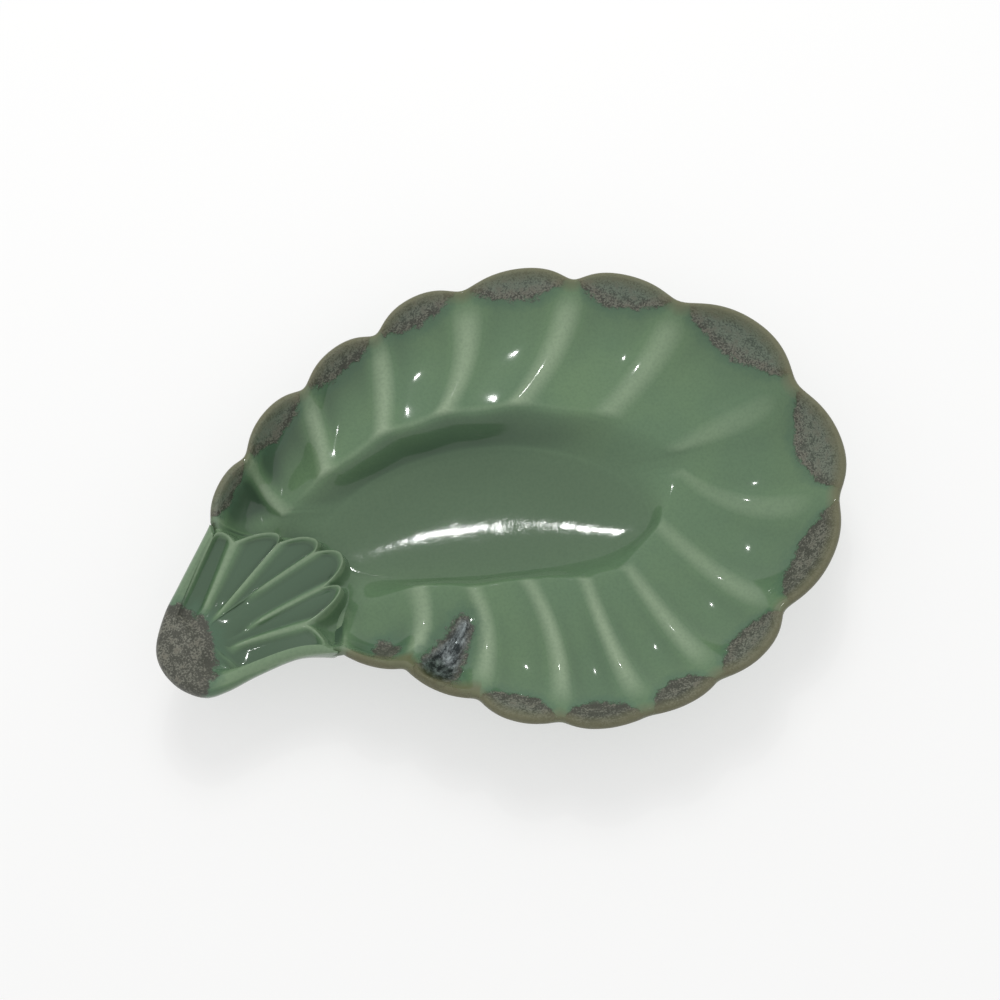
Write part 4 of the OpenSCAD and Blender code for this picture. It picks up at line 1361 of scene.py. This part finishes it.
def foot_stoneware():
    """Stoneware, glazed on its sides and wiped bare on the land: dry buff clay that the iron in
    the body has flashed orange where the glaze ends."""
    material, tree = new_material("foot_stoneware")
    place = add(tree, "ShaderNodeTexCoord").node.outputs["Object"]
    grain = add(tree, NOISE, {"Vector": place, "Scale": per(CLAY_W), "Detail": 4})
    wander = add(tree, NOISE, {"Vector": place, "Scale": per(CLAY_WANDER_W)})
    height = add(tree, "ShaderNodeSeparateXYZ", {0: place}).node.outputs["Z"]

    # The glaze ends a little above the land, along a line that wanders
    edge = add(tree, MATHS, {0: wander, 1: -CLAY_WANDER * MM, 2: height},
               operation="MULTIPLY_ADD")
    glazed = add(tree, RANGE, {0: edge, 1: .1 * MM, 2: .4 * MM})
    flash = add(tree, RANGE, {0: edge, 1: -.8 * MM, 2: .2 * MM})
    colour = add(tree, MIX, {0: grain, 6: linear(CLAY), 7: linear(CLAY_GRIT)}, data_type="RGBA")
    colour = add(tree, MIX, {0: flash, 6: colour, 7: linear(FLASH)}, data_type="RGBA")
    colour = add(tree, MIX, {0: glazed, 6: colour, 7: linear(DEEP)}, data_type="RGBA")
    rough = add(tree, MIX, {0: glazed, 2: CLAY_ROUGH, 3: .1})
    dry = add(tree, MATHS, {0: 1.0, 1: glazed}, operation="SUBTRACT")
    dry = add(tree, MATHS, {0: dry, 1: grain}, operation="MULTIPLY")
    bump = add(tree, BUMP, {"Height": dry, "Distance": CLAY_RISE * MM})
    surface = add(tree, "ShaderNodeBsdfPrincipled",
                  {"Base Color": colour, "Roughness": rough, "Normal": bump, "IOR": GLAZE_IOR})
    add(tree, "ShaderNodeOutputMaterial", {"Surface": surface})
    return material


def floor_paper():
    """Matt white paper sweep. To the camera, and in what mirrors it, part of its light is a
    plain white, which keeps its shadow pale."""
    material, tree = new_material("floor_paper")
    paper = add(tree, "ShaderNodeBsdfPrincipled",
                {"Base Color": linear(PAPER), "Roughness": .9, "Specular IOR Level": .1})
    glow = add(tree, "ShaderNodeEmission", {"Color": (1, 1, 1, 1), "Strength": 1.0})
    rays = add(tree, "ShaderNodeLightPath").node.outputs
    mirrored = add(tree, MATHS, {0: rays["Is Camera Ray"], 1: rays["Is Glossy Ray"]},
                   operation="MAXIMUM")
    seen = add(tree, MATHS, {0: mirrored, 1: rays["Is Transmission Ray"]},
               operation="MAXIMUM")
    share = add(tree, MATHS, {0: seen, 1: PAPER_GLOW}, operation="MULTIPLY")
    surface = add(tree, "ShaderNodeMixShader", {0: share, 1: paper, 2: glow})
    add(tree, "ShaderNodeOutputMaterial", {"Surface": surface})
    return material


# Stage

def make_camera():
    """The camera at the photograph's angle, turned round the plate and lifted over it."""
    a, e = math.radians(VIEW_TURN), math.radians(VIEW_LIFT)
    back = Vector((math.sin(a) * math.cos(e), -math.cos(a) * math.cos(e), math.sin(e)))
    data = bpy.data.cameras.new("camera")
    data.sensor_width = SENSOR
    data.lens = VIEW_LENS
    camera = bpy.data.objects.new("camera", data)
    camera.location = (Vector(VIEW_TARGET) + back * VIEW_FAR) * MM
    camera.rotation_mode = "QUATERNION"
    camera.rotation_quaternion = (-back).to_track_quat("-Z", "Y")
    bpy.context.scene.collection.objects.link(camera)
    bpy.context.scene.camera = camera


def add_lamp(name, toward, far, width, watts, mirrored):
    """A round lamp aimed at the plate, which the glaze mirrors or not."""
    data = bpy.data.lights.new(name, "AREA")
    data.shape = "DISK"
    data.size = width * MM
    data.energy = watts
    lamp = bpy.data.objects.new(name, data)
    way = Vector(toward).normalized()
    lamp.location = way * far * MM
    lamp.rotation_mode = "QUATERNION"
    lamp.rotation_quaternion = (-way).to_track_quat("-Z", "Y")
    lamp.visible_glossy = mirrored
    bpy.context.scene.collection.objects.link(lamp)


def make_stage():
    """The paper floor, the even light of the room and the lamps."""
    corners = [(x * PAPER_REACH, y * PAPER_REACH, 0)
               for x, y in ((-1, -1), (1, -1), (1, 1), (-1, 1))]
    floor = new_object("floor", corners, [(0, 1, 2, 3)], floor_paper(), smooth=False)
    world = bpy.data.worlds.new("room")
    world.use_nodes = True
    world.node_tree.nodes.clear()
    light = add(world.node_tree, "ShaderNodeBackground",
                {"Color": (1, 1, 1, 1), "Strength": ROOM})
    add(world.node_tree, "ShaderNodeOutputWorld", {"Surface": light})
    bpy.context.scene.world = world
    bpy.context.scene.view_settings.view_transform = "Standard"
    add_lamp("key", KEY_WAY, KEY_FAR, KEY_W, KEY_WATTS, True)
    add_lamp("soft", KEY_WAY, KEY_FAR, SOFT_W, SOFT_WATTS, False)


# The pieces, each in place of its node of the frame

glaze = celadon_glaze()
leaf, stations, shift = make_leaf(glaze)
leaf_surface = tree_of(leaf)
grip = make_grip(stations, leaf_surface, shift, glaze)
foot = make_foot(shift, foot_stoneware())
soften_fan(grip, shift)
grip_surface = tree_of(grip)
set_leaf_glaze(leaf, pool_of(leaf, leaf_surface, grip_surface, LEAF_BLUR, LEAF_POOL,
                            EDGE_THIN), stations, shift)
set_grip_glaze(grip, pool_of(grip, grip_surface, leaf_surface, GRIP_BLUR, GRIP_POOL,
                             GRIP_EDGE), shift)

for piece, node, slot in ((leaf, "leaf_shell", "leaf_glaze"), (grip, "handle", "grip_glaze"),
                          (foot, "foot_ring", "foot_clay")):
    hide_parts(node)
    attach(piece, "root")

make_camera()
make_stage()
